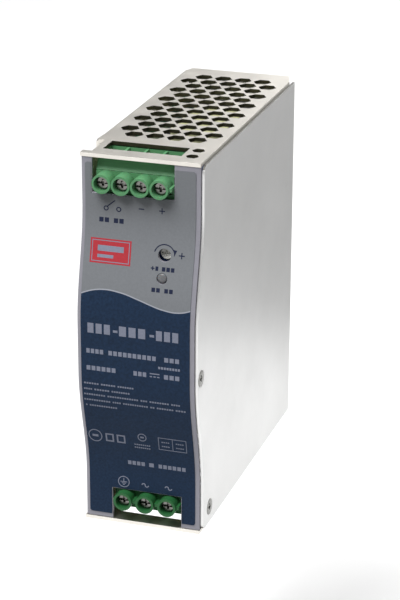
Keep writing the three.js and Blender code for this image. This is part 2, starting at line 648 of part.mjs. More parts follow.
/** Main board: its front corners step back to leave room for the terminal blocks. */
function mainBoard() {
  const step = BOARD_FRONT + BOARD_NOTCH_DEPTH;
  const low = INPUT_TAIL + BLOCK_TO_BOARD;
  const high = OUTPUT_TAIL - BLOCK_TO_BOARD;
  const outline = [
    [BOARD_FRONT, low], [step, low], [step, BOARD_LOW], [BOARD_REAR, BOARD_LOW],
    [BOARD_REAR, BOARD_HIGH], [step, BOARD_HIGH], [step, high], [BOARD_FRONT, high],
  ];
  return prism(outline, "x", BOARD_X, BOARD_FACE);
}

function insulatingFilm() {
  const x = WALL_INSIDE + FILM_STANDOFF;
  const inset = CHASSIS_SHEET + FILM_INSET;
  const sheet = box([x, x + FILM], [PANEL_FLANGE_DEPTH + FILM_INSET, BOARD_REAR], [inset, HEIGHT - inset]);
  return cut(sheet, ...PILLARS.map(([y, z]) => rod("x", y, z, PILLAR_RADIUS + FILM_HOLE_PLAY, x - 1, x + 1)));
}

/** Small upright board behind the panel: it carries the tails of a block's contacts. */
function uprightBoard(from, to) {
  return box(
    [BOARD_FACE + UPRIGHT_PLAY, RIGHT - COVER_SHEET - UPRIGHT_TO_COVER],
    [FRONT_BOARD_REAR - BOARD, FRONT_BOARD_REAR],
    [from, to],
  );
}

piece("main_board", mainBoard(), MATERIALS.board);
piece("insulating_film", insulatingFilm(), MATERIALS.film);
PILLARS.forEach(([y, z], i) => {
  const pillar = prism(ring(y, z, PILLAR_RADIUS, 6), "x", WALL_INSIDE + REST_GAP, BOARD_X - REST_GAP);
  piece(`board_pillar_${i + 1}`, pillar, MATERIALS.copper);
});
piece(
  "front_board",
  uprightBoard(OUTPUT_TAIL - UPRIGHT_PLAY - FRONT_BOARD_HEIGHT, OUTPUT_TAIL - UPRIGHT_PLAY),
  MATERIALS.board,
);
piece(
  "input_board",
  uprightBoard(INPUT_TAIL + UPRIGHT_PLAY, INPUT_TAIL + UPRIGHT_PLAY + INPUT_BOARD_HEIGHT),
  MATERIALS.board,
);

const FRONT_BOARD_FACE = FRONT_BOARD_REAR - BOARD - REST_GAP;

/** Square trimmer on the front board, with a round well for its rotor. */
function trimmerBody() {
  const { bodyHalf, bodyFace, well, wellDepth } = TRIMMER;
  return cut(
    box(
      [TRIMMER_X - bodyHalf, TRIMMER_X + bodyHalf],
      [bodyFace, FRONT_BOARD_FACE],
      [TRIMMER_Z - bodyHalf, TRIMMER_Z + bodyHalf],
    ),
    rod("y", TRIMMER_X, TRIMMER_Z, well, bodyFace - 1, bodyFace + wellDepth),
  );
}

function trimmerRotor() {
  const { bodyFace, well, wellDepth, rotorPlay, rotorProud } = TRIMMER;
  const face = bodyFace - rotorProud;
  const blank = rod("y", TRIMMER_X, TRIMMER_Z, well - rotorPlay, face, bodyFace + wellDepth - REST_GAP);
  return cut(blank, ...crossRecess("y", TRIMMER_X, TRIMMER_Z, face, 1, RECESS.trimmer));
}

/** Domed lamp with a collar, standing on the front board. */
function statusLamp() {
  const { radius, dome, collar, collarRadius, recess } = LAMP;
  const face = frontAt(LAMP_Z) - recess;
  return turned("y", LAMP_X, LAMP_Z, [
    [0, face], [radius * 0.5, face + dome * 0.1], [radius * 0.87, face + dome * 0.45], [radius, face + dome],
    [radius, face + collar], [collarRadius, face + collar], [collarRadius, FRONT_BOARD_FACE],
    [0, FRONT_BOARD_FACE],
  ]);
}

piece("trimmer_body", trimmerBody(), MATERIALS.blue);
piece("trimmer_rotor", trimmerRotor(), MATERIALS.white);
piece("status_lamp", statusLamp(), MATERIALS.lamp);

// ---------------------------------------------------------------- parts on the main board

const MOUNT_X = BOARD_FACE + REST_GAP; // parts stand on the board from here towards the cover
const CLEAR = RIGHT - COVER_SHEET - MOUNT_X; // height over the board inside the cover

/** Two places on the board, given as shares of its length from the front and of its height from below. */
const across = (from, to) => [from, to].map((share) => THREE.MathUtils.lerp(BOARD_FRONT, BOARD_REAR, share));
const up = (from, to) => [from, to].map((share) => THREE.MathUtils.lerp(BOARD_LOW, BOARD_HIGH, share));

/** Middle and half width of a stretch. */
const middleOf = ([from, to]) => (from + to) / 2;
const halfOf = ([from, to]) => (to - from) / 2;

/** A block with its long edges chamfered, standing on the board. */
function blockPart(height, [y0, y1], [z0, z1], c) {
  const outline = [
    [y0 + c, z0], [y1 - c, z0], [y1, z0 + c], [y1, z1 - c],
    [y1 - c, z1], [y0 + c, z1], [y0, z1 - c], [y0, z0 + c],
  ];
  return prism(outline, "x", MOUNT_X, MOUNT_X + height);
}

/** Profile of a can capacitor between two ends, with rounded rims and a rolled groove near the first. */
function canProfile(radius, from, to) {
  const { rim, groove, grooveAt, grooveHalf } = CAN;
  return [
    [0, from], [radius - rim, from], [radius, from + rim], [radius, from + grooveAt - grooveHalf],
    [radius - groove, from + grooveAt], [radius, from + grooveAt + grooveHalf],
    [radius, to - rim], [radius - rim, to], [0, to],
  ];
}

/** A can capacitor lying on the board along Z. */
const lyingCan = (ys, [from, to]) =>
  turned("z", MOUNT_X + halfOf(ys), middleOf(ys), canProfile(halfOf(ys), from, to));

/** A can capacitor standing on the board along X, as wide as its place allows. */
const standingCan = (ys, zs, height) =>
  turned(
    "x", middleOf(ys), middleOf(zs),
    canProfile(Math.min(halfOf(ys), halfOf(zs)), MOUNT_X, MOUNT_X + height),
  );

/** A wound ring core standing on the board with its axis along X. */
function ringChoke(y, zs, height, hole) {
  const z = middleOf(zs);
  return cut(
    rod("x", y, z, halfOf(zs), MOUNT_X, MOUNT_X + height, 24),
    rod("x", y, z, halfOf(zs) * hole, MOUNT_X - 1, MOUNT_X + height + 1),
  );
}

/** Glass tube with a metal cap at each end, lying along Z. */
function fuseLink(y, [from, to]) {
  const { radius, glass, cap } = FUSE;
  return turned("z", MOUNT_X + radius + REST_GAP, y, [
    [0, from], [radius, from], [radius, from + cap], [glass, from + cap],
    [glass, to - cap], [radius, to - cap], [radius, to], [0, to],
  ]);
}

/** A heat sink: a plate across the case with three ribs on its rear face. */
function heatSink(y, [z0, z1]) {
  const { plate, rib, ribWidth, toCover } = SINK;
  const x = [MOUNT_X, MOUNT_X + CLEAR - toCover];
  const ribAt = (z) => box(x, [y + plate / 2, y + plate + rib], [z, z + ribWidth]);
  return join(
    box(x, [y, y + plate], [z0, z1]),
    ribAt(z0),
    ribAt((z0 + z1 - ribWidth) / 2),
    ribAt(z1 - ribWidth),
  );
}

/** A power semiconductor clamped to the front face of a heat sink. */
function clampedDevice(sinkFace, [z0, z1]) {
  const { fromBoard, length, thickness } = DEVICE;
  return box(
    [MOUNT_X + fromBoard, MOUNT_X + fromBoard + length],
    [sinkFace - thickness, sinkFace - REST_GAP],
    [z0, z1],
  );
}

/** Ferrite core: a closed frame whose two windows hold the winding. */
function transformerCore(y, z) {
  const { toCover, leg, cheek } = TRANSFORMER;
  const height = CLEAR - toCover;
  const middle = middleOf(y);
  const frame = box([MOUNT_X + cheek, MOUNT_X + height - cheek], y, z);
  const window = (from, to) => box([MOUNT_X, MOUNT_X + height], [from, to], [z[0] + leg, z[1] - leg]);
  return cut(frame, window(y[0] + leg, middle - leg / 2), window(middle + leg / 2, y[1] - leg));
}

/** Bobbin and taped winding round the core's middle leg. */
function transformerWinding(y, z) {
  const { toCover, leg, cheek, play } = TRANSFORMER;
  const height = CLEAR - toCover;
  const middle = middleOf(y);
  const inset = leg + play;
  return cut(
    box([MOUNT_X, MOUNT_X + height], [y[0] + inset, y[1] - inset], [z[0] + inset, z[1] - inset]),
    box(
      [MOUNT_X + cheek - play, MOUNT_X + height - cheek + play],
      [middle - leg / 2 - play, middle + leg / 2 + play],
      z,
    ),
  );
}

const PRIMARY_SINK_FACE = across(0.6, 1)[0];
const SECONDARY_SINK_FACE = across(0.86, 1)[0];
const CAN_PLACES = across(0.18, 0.37);
const TRANSFORMER_PLACE = [across(0.475, 0.777), up(0.765, 0.993)];

piece("fuse", fuseLink(across(0.145, 1)[0], up(0.215, 0.39)), MATERIALS.glass);
piece("common_mode_choke", ringChoke(across(0.3, 1)[0], up(0.022, 0.197), 15, 0.4), MATERIALS.copper);
piece("x_capacitor", blockPart(14, across(0.45, 0.666), up(0.022, 0.162), 1), MATERIALS.yellow);
piece(
  "bridge_rectifier",
  blockPart(CLEAR - 11, across(0.711, 0.757), up(0.022, 0.197), 0.6),
  MATERIALS.black,
);
piece("bulk_capacitor", lyingCan(across(0.777, 0.984), up(0.232, 0.6)), MATERIALS.black);
piece("boost_choke", blockPart(CLEAR - 9, across(0.224, 0.507), up(0.267, 0.477), 3), MATERIALS.yellow);
piece("primary_heat_sink", heatSink(PRIMARY_SINK_FACE, up(0.25, 0.495)), MATERIALS.aluminium);
piece("primary_transistor", clampedDevice(PRIMARY_SINK_FACE, up(0.328, 0.416)), MATERIALS.black);
piece("transformer_core", transformerCore(...TRANSFORMER_PLACE), MATERIALS.ferrite);
piece("transformer_winding", transformerWinding(...TRANSFORMER_PLACE), MATERIALS.yellow);
piece("secondary_heat_sink", heatSink(SECONDARY_SINK_FACE, up(0.619, 0.943)), MATERIALS.aluminium);
piece("output_rectifier", clampedDevice(SECONDARY_SINK_FACE, up(0.742, 0.83)), MATERIALS.black);
piece("output_capacitor_1", standingCan(CAN_PLACES, up(0.835, 0.985), CLEAR - 8), MATERIALS.blue);
piece("output_capacitor_2", standingCan(CAN_PLACES, up(0.677, 0.827), CLEAR - 8), MATERIALS.blue);
piece("dc_ok_relay", blockPart(12, across(0.111, 0.281), up(0.567, 0.663), 0.6), MATERIALS.black);

// ---------------------------------------------------------------- rail clip

const CLIP_FRONT = DEPTH + REST_GAP;
const CLIP_LOW = RAIL_BOTTOM - CLIP_BELOW_RAIL;
const HOOK_TOP = RAIL_TOP + UPPER_HOOK_PLAY + CLIP_SHEET;
const SEAT_HIGH = RAIL_TOP - HOOK_OVERLAP - SEAT_RELIEF_MARGIN;
const SEAT_LOW = RAIL_BOTTOM + HOOK_OVERLAP + SEAT_RELIEF_MARGIN;
const SPRING_LOW = MIDDLE - SPRING_LENGTH / 2 - 1;
const SPRING_HIGH = SPRING_LOW + SPRING_LENGTH;
const SPRING_Y = BRIDGE_INSIDE - 0.3;
const SPRING_WINDOW = SPRING_RADIUS + SPRING_WIRE_RADIUS + SPRING_PLAY; // half width
const STOP_HALF = SPRING_WINDOW + 1;
const LATCH_FRONT = DEPTH + LATCH_FRONT_PLAY;
const LATCH_HOOK_TOP = RAIL_BOTTOM - REST_GAP - 0.2;
const LATCH_HALF_WIDTH = BRIDGE_HALF_WIDTH - CLIP_SHEET - LATCH_SIDE_PLAY;

/** Pressed clip plate: screwed flanges, a bridge that the rail seats on, and two upper hooks. */
function railClipPlate() {
  const wide = [-CLIP_HALF_WIDTH, CLIP_HALF_WIDTH];
  const narrow = [-BRIDGE_HALF_WIDTH, BRIDGE_HALF_WIDTH];
  const inner = BRIDGE_HALF_WIDTH - CLIP_SHEET;
  const hookWindow = LATCH_HOOK_HALF + 0.6;
  const springWindow = [-SPRING_WINDOW, SPRING_WINDOW];
  const hookWindowLow = LATCH_HOOK_TOP - CLIP_SHEET - LATCH_TRAVEL - LATCH_TRAVEL_PLAY;
  const pressed = join(
    box(wide, [CLIP_FRONT, CLIP_FRONT + CLIP_SHEET], [CLIP_LOW, HOOK_TOP]),
    box(narrow, [CLIP_FRONT, RAIL_SEAT], [CLIP_LOW, HOOK_TOP]),
    box(narrow, [RAIL_SEAT - 1, OVERALL_DEPTH], [HOOK_TOP - CLIP_SHEET, HOOK_TOP]),
    box(narrow, [HOOK_INSIDE, OVERALL_DEPTH], [RAIL_TOP - HOOK_OVERLAP, HOOK_TOP]),
  );
  const hollow = cut(
    pressed,
    box([-inner, inner], [CLIP_FRONT - 1, BRIDGE_INSIDE], [CLIP_LOW - 1, HOOK_TOP + 1]),
    box([-hookWindow, hookWindow], [BRIDGE_INSIDE - 1, OVERALL_DEPTH + 1], [hookWindowLow, RAIL_BOTTOM]),
    box(springWindow, [BRIDGE_INSIDE - 1, RAIL_SEAT + 1], [SPRING_LOW - 0.5, SPRING_HIGH + 2]),
    box(
      [-UPPER_HOOK_NOTCH, UPPER_HOOK_NOTCH],
      [RAIL_SEAT, OVERALL_DEPTH + 1],
      [RAIL_TOP - HOOK_OVERLAP - 1, HOOK_TOP + 1],
    ),
    ...CLIP_SCREWS_X.map((x) => rod("y", x, MIDDLE, CLIP_SCREW.hole, DEPTH, RAIL_SEAT)),
  );
  const relieved = cut(
    hollow,
    box(narrow, [RAIL_SEAT - SEAT_RELIEF, HOOK_INSIDE], [SEAT_HIGH, HOOK_TOP - CLIP_SHEET]),
    box(narrow, [RAIL_SEAT - SEAT_RELIEF, RAIL_SEAT + 1], [CLIP_LOW - 1, SEAT_LOW]),
  );
  const stopTop = SPRING_LOW - REST_GAP;
  const stopHeight = [stopTop - SPRING_STOP, stopTop];
  return join(relieved, box([-STOP_HALF, STOP_HALF], [DEPTH + 0.5, RAIL_SEAT - SEAT_RELIEF], stopHeight));
}

/** Sliding latch: a strip in the channel, a lower hook for the rail and a tail with a tool slot. */
function railLatch() {
  const thick = [LATCH_FRONT, LATCH_FRONT + CLIP_SHEET];
  const through = [LATCH_FRONT - 1, LATCH_FRONT + CLIP_SHEET + 1];
  const hookLow = LATCH_HOOK_TOP - CLIP_SHEET;
  const windowHalf = STOP_HALF + 0.3;
  const slotLow = LATCH_TAIL + TOOL_SLOT.above;
  const hook = [-LATCH_HOOK_HALF, LATCH_HOOK_HALF];
  const blank = join(
    box([-LATCH_HALF_WIDTH, LATCH_HALF_WIDTH], thick, [CLIP_LOW + 2, SPRING_HIGH + 6]),
    box([-LATCH_TAIL_HALF, LATCH_TAIL_HALF], thick, [LATCH_TAIL, CLIP_LOW + 3]),
    box(hook, [LATCH_FRONT, OVERALL_DEPTH], [hookLow, LATCH_HOOK_TOP]),
    box(hook, [HOOK_INSIDE, OVERALL_DEPTH], [hookLow, RAIL_BOTTOM + HOOK_OVERLAP]),
  );
  return cut(
    blank,
    box([-windowHalf, windowHalf], through, [SPRING_LOW - SPRING_STOP - 0.6, SPRING_HIGH + REST_GAP]),
    box([-TOOL_SLOT.half, TOOL_SLOT.half], through, [slotLow, slotLow + TOOL_SLOT.height]),
  );
}

/** Compression spring between the clip's stop and the upper edge of the latch's window. */
function latchSpring() {
  const low = SPRING_LOW + SPRING_WIRE_RADIUS;
  const rise = SPRING_LENGTH - 2 * (SPRING_WIRE_RADIUS + REST_GAP);
  class Helix extends THREE.Curve {
    getPoint(t) {
      const angle = 2 * Math.PI * SPRING_TURNS * t;
      return new THREE.Vector3(
        SPRING_RADIUS * Math.cos(angle),
        SPRING_Y + SPRING_RADIUS * Math.sin(angle),
        low + rise * t,
      );
    }
  }
  const section = new THREE.Shape(
    ring(0, 0, SPRING_WIRE_RADIUS, 6).map(([a, b]) => new THREE.Vector2(a, b)),
  );
  return solidOf(
    new THREE.ExtrudeGeometry(section, { steps: SPRING_TURNS * 8, extrudePath: new Helix() }),
  );
}

/** Pan-head screw that holds the clip to the rear wall. */
function clipScrew(x) {
  const { head, headHeight, crown, shank, length } = CLIP_SCREW;
  const under = CLIP_FRONT + CLIP_SHEET + REST_GAP;
  const top = under + headHeight;
  const screw = turned("y", x, MIDDLE, [
    [0, under - length], [shank, under - length], [shank, under], [head, under],
    [head, top - crown], [head - crown, top], [0, top],
  ]);
  return cut(screw, ...crossRecess("y", x, MIDDLE, top, -1, RECESS.clip));
}

piece("rail_clip_plate", railClipPlate(), MATERIALS.zinc);
piece("rail_latch", railLatch(), MATERIALS.zinc);
piece("latch_spring", latchSpring(), MATERIALS.steel);
CLIP_SCREWS_X.forEach((x, i) => piece(`rail_clip_screw_${i + 1}`, clipScrew(x), MATERIALS.steel));

export default root;
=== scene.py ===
"""Looks of a DIN rail power supply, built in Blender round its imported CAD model.

Every length in the classes is in millimetres, in the case's own terms: x runs across the case, y runs
rearwards from the crest of the waved front and z rises from the underside. Place turns them into metres
in the shared frame.
"""

import json
import logging
import math
from dataclasses import dataclass, field
from enum import Enum
from typing import Callable, Iterable, Sequence

import bmesh
import bpy
from mathutils import Matrix, Vector

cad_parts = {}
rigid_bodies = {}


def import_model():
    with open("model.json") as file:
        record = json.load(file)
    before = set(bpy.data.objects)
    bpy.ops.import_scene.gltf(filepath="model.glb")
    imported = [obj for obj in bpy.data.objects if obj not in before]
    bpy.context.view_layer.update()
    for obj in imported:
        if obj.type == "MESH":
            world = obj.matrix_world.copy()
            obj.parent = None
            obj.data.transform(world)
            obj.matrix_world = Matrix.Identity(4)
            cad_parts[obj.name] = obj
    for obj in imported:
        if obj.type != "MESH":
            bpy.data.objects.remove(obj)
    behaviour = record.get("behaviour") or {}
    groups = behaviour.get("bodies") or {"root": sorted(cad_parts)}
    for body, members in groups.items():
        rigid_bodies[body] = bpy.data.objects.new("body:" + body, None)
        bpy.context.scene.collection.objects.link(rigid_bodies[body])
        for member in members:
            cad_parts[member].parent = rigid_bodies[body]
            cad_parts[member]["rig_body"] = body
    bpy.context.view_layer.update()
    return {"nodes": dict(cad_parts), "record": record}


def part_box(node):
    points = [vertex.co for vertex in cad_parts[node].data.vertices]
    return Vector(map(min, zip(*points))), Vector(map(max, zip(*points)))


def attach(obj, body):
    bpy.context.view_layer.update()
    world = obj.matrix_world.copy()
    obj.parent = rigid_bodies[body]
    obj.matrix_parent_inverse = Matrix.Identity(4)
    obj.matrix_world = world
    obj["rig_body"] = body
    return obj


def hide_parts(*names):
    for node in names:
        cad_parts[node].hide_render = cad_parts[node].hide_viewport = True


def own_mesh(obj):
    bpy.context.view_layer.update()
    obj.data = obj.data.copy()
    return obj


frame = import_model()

log = logging.getLogger("power_supply")

MM = 0.001
SMOOTH_ANGLE = math.radians(34)
NORMAL_WEIGHT = 90  # how far large flat faces rule the shading of the corners that they share
MERGE = 2e-6
FLAT_ANGLE = math.radians(0.6)
BEVEL_PROFILE = 0.5
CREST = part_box("front_label")[0].y


class Axis(Enum):
    """Direction of a round or bent feature."""

    X = 0
    Y = 1
    Z = 2

    @property
    def vector(self) -> Vector:
        """Unit vector along the axis."""
        return Vector([float(i == self.value) for i in range(3)])


class Place:
    """Changes places on the case, in millimetres, into metres in the shared frame."""

    @staticmethod
    def at(x: float, y: float, z: float) -> Vector:
        """Point of the shared frame at a place on the case."""
        return Vector((x * MM, CREST + y * MM, z * MM))

    @staticmethod
    def of(point: Vector) -> tuple[float, float, float]:
        """Place on the case, in millimetres, of a point of the shared frame."""
        return point.x / MM, (point.y - CREST) / MM, point.z / MM

    @staticmethod
    def node(name: str) -> tuple[tuple[float, float, float], tuple[float, float, float]]:
        """Lowest and highest corner of a CAD node, in millimetres on the case."""
        low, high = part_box(name)
        return Place.of(low), Place.of(high)


@dataclass(frozen=True)
class Wave:
    """The waved front: flat at both ends, with one long hump and a flat crest between them."""

    middle: float = 62.6
    crest_half: float = 8.0
    end_flat: float = 16.6
    step: float = 6.0
    facets: int = 12

    def _along(self, z: float) -> float:
        """Share of the way from the crest to the flat end, from 0 to 1."""
        run = self.middle - self.end_flat - self.crest_half
        return min(1.0, max(0.0, (abs(z - self.middle) - self.crest_half) / run))

    def set_back(self, z: float) -> float:
        """How far the surface stands behind its crest at a height."""
        return self.step * (1 - math.cos(math.pi * self._along(z))) / 2

    def faceted(self, z: float) -> float:
        """The same distance on the CAD model, whose front is made of straight runs."""
        at = self._along(z) * self.facets
        low = math.floor(at)
        ends = [self.step * (1 - math.cos(math.pi * min(i, self.facets) / self.facets)) / 2
                for i in (low, low + 1)]
        return ends[0] + (ends[1] - ends[0]) * (at - low)

    def heights(self, spacing: float) -> list[float]:
        """Heights at which a smooth piece is divided, about a spacing apart."""
        count = round(2 * (self.middle - self.end_flat) / spacing)
        first = self.end_flat
        return [first + 2 * (self.middle - first) * i / count for i in range(count + 1)]


WAVE = Wave()


# ---------------------------------------------------------------- finishes


class Nodes:
    """Short calls that place and join the nodes of a material or a node group."""

    def __init__(self, tree: bpy.types.NodeTree) -> None:
        """Starts on an empty tree.

        Args:
            tree: the node tree of a material or a group.
        """
        self.tree = tree

    def add(self, kind: str, **settings: object) -> bpy.types.Node:
        """Places a node.

        Args:
            kind: the node's type.
            settings: its own settings, by name.

        Returns:
            The new node.
        """
        node = self.tree.nodes.new(kind)
        for name, value in settings.items():
            setattr(node, name, value)
        return node

    def join(self, source: bpy.types.NodeSocket, target: bpy.types.NodeSocket) -> None:
        """Joins an output to an input."""
        self.tree.links.new(source, target)

    def feed(self, target: bpy.types.NodeSocket, value: object) -> None:
        """Gives an input a value, or joins it to an output."""
        if isinstance(value, bpy.types.NodeSocket):
            self.join(value, target)
        else:
            target.default_value = value

    def maths(self, operation: str, *values: object, clamp: bool = False) -> bpy.types.NodeSocket:
        """One sum, product or other operation on numbers.

        Args:
            operation: the Math node's operation.
            values: numbers or outputs.
            clamp: whether the result is kept between 0 and 1.

        Returns:
            The result.
        """
        node = self.add("ShaderNodeMath", operation=operation, use_clamp=clamp)
        for socket, value in zip(node.inputs, values):
            self.feed(socket, value)
        return node.outputs[0]

    def spread(self, value: object, low: float, high: float, to_low: float, to_high: float) -> bpy.types.NodeSocket:
        """Maps a range of a value to another range, and keeps it inside."""
        node = self.add("ShaderNodeMapRange")
        for name, item in zip(("Value", "From Min", "From Max", "To Min", "To Max"),
                              (value, low, high, to_low, to_high)):
            self.feed(node.inputs[name], item)
        return node.outputs["Result"]

    def mix(self, share: object, first: object, second: object, blend: str = "MIX") -> bpy.types.NodeSocket:
        """Mixes two colours by a share."""
        node = self.add("ShaderNodeMix", data_type="RGBA", blend_type=blend)
        colours = [socket for socket in node.inputs if socket.type == "RGBA"]
        self.feed(node.inputs["Factor"], share)
        self.feed(colours[0], first)
        self.feed(colours[1], second)
        return next(socket for socket in node.outputs if socket.type == "RGBA")

    def place(self) -> bpy.types.NodeSocket:
        """The piece's own coordinates, in metres."""
        return self.add("ShaderNodeTexCoord").outputs["Object"]

    def use(self, group: bpy.types.NodeTree, **values: object) -> dict[str, bpy.types.NodeSocket]:
        """Places a shared group.

        Args:
            group: the group.
            values: its inputs by name, with a space written as an underscore.

        Returns:
            The group's outputs by name.
        """
        node = self.add("ShaderNodeGroup", node_tree=group)
        for name, value in values.items():
            self.feed(node.inputs[name.replace("_", " ").title()], value)
        return {socket.name: socket for socket in node.outputs}


class Effects:
    """Effects that several finishes share, each a node group that is built once."""

    _built: dict[str, bpy.types.NodeTree] = {}

    @classmethod
    def _group(
        cls,
        name: str,
        inputs: Sequence[tuple[str, str]],
        outputs: Sequence[tuple[str, str]],
        build: Callable[[Nodes, Sequence[bpy.types.NodeSocket]], Sequence[bpy.types.NodeSocket]],
    ) -> bpy.types.NodeTree:
        """Builds a group the first time that it is asked for.

        Args:
            name: the group's name.
            inputs: names and kinds of its inputs.
            outputs: names and kinds of its outputs.
            build: makes the nodes from the inputs and returns the outputs.

        Returns:
            The group.
        """
        if name in cls._built:
            return cls._built[name]
        tree = bpy.data.node_groups.new(name, "ShaderNodeTree")
        for label, kind in inputs:
            tree.interface.new_socket(label, in_out="INPUT", socket_type=f"NodeSocket{kind}")
        for label, kind in outputs:
            tree.interface.new_socket(label, in_out="OUTPUT", socket_type=f"NodeSocket{kind}")
        nodes = Nodes(tree)
        entry = nodes.add("NodeGroupInput")
        results = build(nodes, entry.outputs)
        leave = nodes.add("NodeGroupOutput")
        for result, socket in zip(results, leave.inputs):
            nodes.join(result, socket)
        cls._built[name] = tree
        return tree

    @classmethod
    def mottle(cls) -> bpy.types.NodeTree:
        """Soft uneven patches: Value runs from -1 to 1 about the finish's mean."""

        def build(nodes: Nodes, sockets: Sequence[bpy.types.NodeSocket]) -> list[bpy.types.NodeSocket]:
            """Two noises of different size, added."""
            place, size = sockets[0], sockets[1]
            scale = nodes.maths("DIVIDE", 1.0, size)
            broad = nodes.add("ShaderNodeTexNoise")
            fine = nodes.add("ShaderNodeTexNoise")
            nodes.join(place, broad.inputs["Vector"])
            nodes.join(place, fine.inputs["Vector"])
            nodes.join(scale, broad.inputs["Scale"])
            nodes.join(nodes.maths("MULTIPLY", scale, 5.3), fine.inputs["Scale"])
            both = nodes.maths("MULTIPLY_ADD", fine.outputs[0], 0.4, broad.outputs[0])
            return [nodes.spread(both, 0.35, 1.05, -1.0, 1.0)]

        return cls._group("Mottle", [("Place", "Vector"), ("Size", "Float")], [("Value", "Float")], build)

    @classmethod
    def grain(cls) -> bpy.types.NodeTree:
        """Fine all-over texture of a moulded, sprayed or cast surface: Height from 0 to 1."""

        def build(nodes: Nodes, sockets: Sequence[bpy.types.NodeSocket]) -> list[bpy.types.NodeSocket]:
            """Fine noise over a scatter of shallow dimples."""
            place, size = sockets[0], sockets[1]
            scale = nodes.maths("DIVIDE", 1.0, size)
            noise = nodes.add("ShaderNodeTexNoise")
            dimples = nodes.add("ShaderNodeTexVoronoi")
            for texture, factor in ((noise, 1.0), (dimples, 0.7)):
                nodes.join(place, texture.inputs["Vector"])
                nodes.join(nodes.maths("MULTIPLY", scale, factor), texture.inputs["Scale"])
            return [nodes.maths("MULTIPLY_ADD", dimples.outputs["Distance"], 0.5, noise.outputs[0])]

        return cls._group("Grain", [("Place", "Vector"), ("Size", "Float")], [("Height", "Float")], build)

    @classmethod
    def lines(cls) -> bpy.types.NodeTree:
        """Fine drawn or turned lines along the direction in which Stretch is small: Value from 0 to 1."""

        def build(nodes: Nodes, sockets: Sequence[bpy.types.NodeSocket]) -> list[bpy.types.NodeSocket]:
            """Noise on a stretched place."""
            place, stretch, size = sockets[0], sockets[1], sockets[2]
            drawn = nodes.add("ShaderNodeVectorMath", operation="MULTIPLY")
            nodes.join(place, drawn.inputs[0])
            nodes.join(stretch, drawn.inputs[1])
            noise = nodes.add("ShaderNodeTexNoise")
            noise.inputs["Detail"].default_value = 4.0
            nodes.join(drawn.outputs[0], noise.inputs["Vector"])
            nodes.join(nodes.maths("DIVIDE", 1.0, size), noise.inputs["Scale"])
            return [nodes.spread(noise.outputs[0], 0.3, 0.7, 0.0, 1.0)]

        inputs = [("Place", "Vector"), ("Stretch", "Vector"), ("Size", "Float")]
        return cls._group("Lines", inputs, [("Value", "Float")], build)

    @classmethod
    def specks(cls) -> bpy.types.NodeTree:
        """Scattered dust, pits or scuffs: Mask is 1 on a speck and 0 elsewhere."""

        def build(nodes: Nodes, sockets: Sequence[bpy.types.NodeSocket]) -> list[bpy.types.NodeSocket]:
            """Small cells, most of them left out."""
            place, size, share = sockets[0], sockets[1], sockets[2]
            scale = nodes.maths("DIVIDE", 1.0, size)
            cells = nodes.add("ShaderNodeTexVoronoi")
            nodes.join(place, cells.inputs["Vector"])
            nodes.join(scale, cells.inputs["Scale"])
            patches = nodes.add("ShaderNodeTexNoise")
            nodes.join(place, patches.inputs["Vector"])
            nodes.join(nodes.maths("MULTIPLY", scale, 0.31), patches.inputs["Scale"])
            near = nodes.spread(cells.outputs["Distance"], 0.10, 0.22, 1.0, 0.0)
            kept = nodes.spread(patches.outputs[0], nodes.maths("SUBTRACT", 0.75, share),
                                nodes.maths("SUBTRACT", 0.82, share), 0.0, 1.0)
            return [nodes.maths("MULTIPLY", near, kept)]

        inputs = [("Place", "Vector"), ("Size", "Float"), ("Share", "Float")]
        return cls._group("Specks", inputs, [("Mask", "Float")], build)


Colour = tuple[float, float, float]


def linear(colour: Colour) -> tuple[float, float, float, float]:
    """Linear colour of one given as 0 to 255 for display."""
    shares = [c / 255 for c in colour]
    values = [s / 12.92 if s <= 0.04045 else ((s + 0.055) / 1.055) ** 2.4 for s in shares]
    return values[0], values[1], values[2], 1.0


def scaled(colour: Colour, share: float) -> Colour:
    """A lighter or darker colour."""
    return tuple(min(255.0, max(0.0, c * share)) for c in colour)


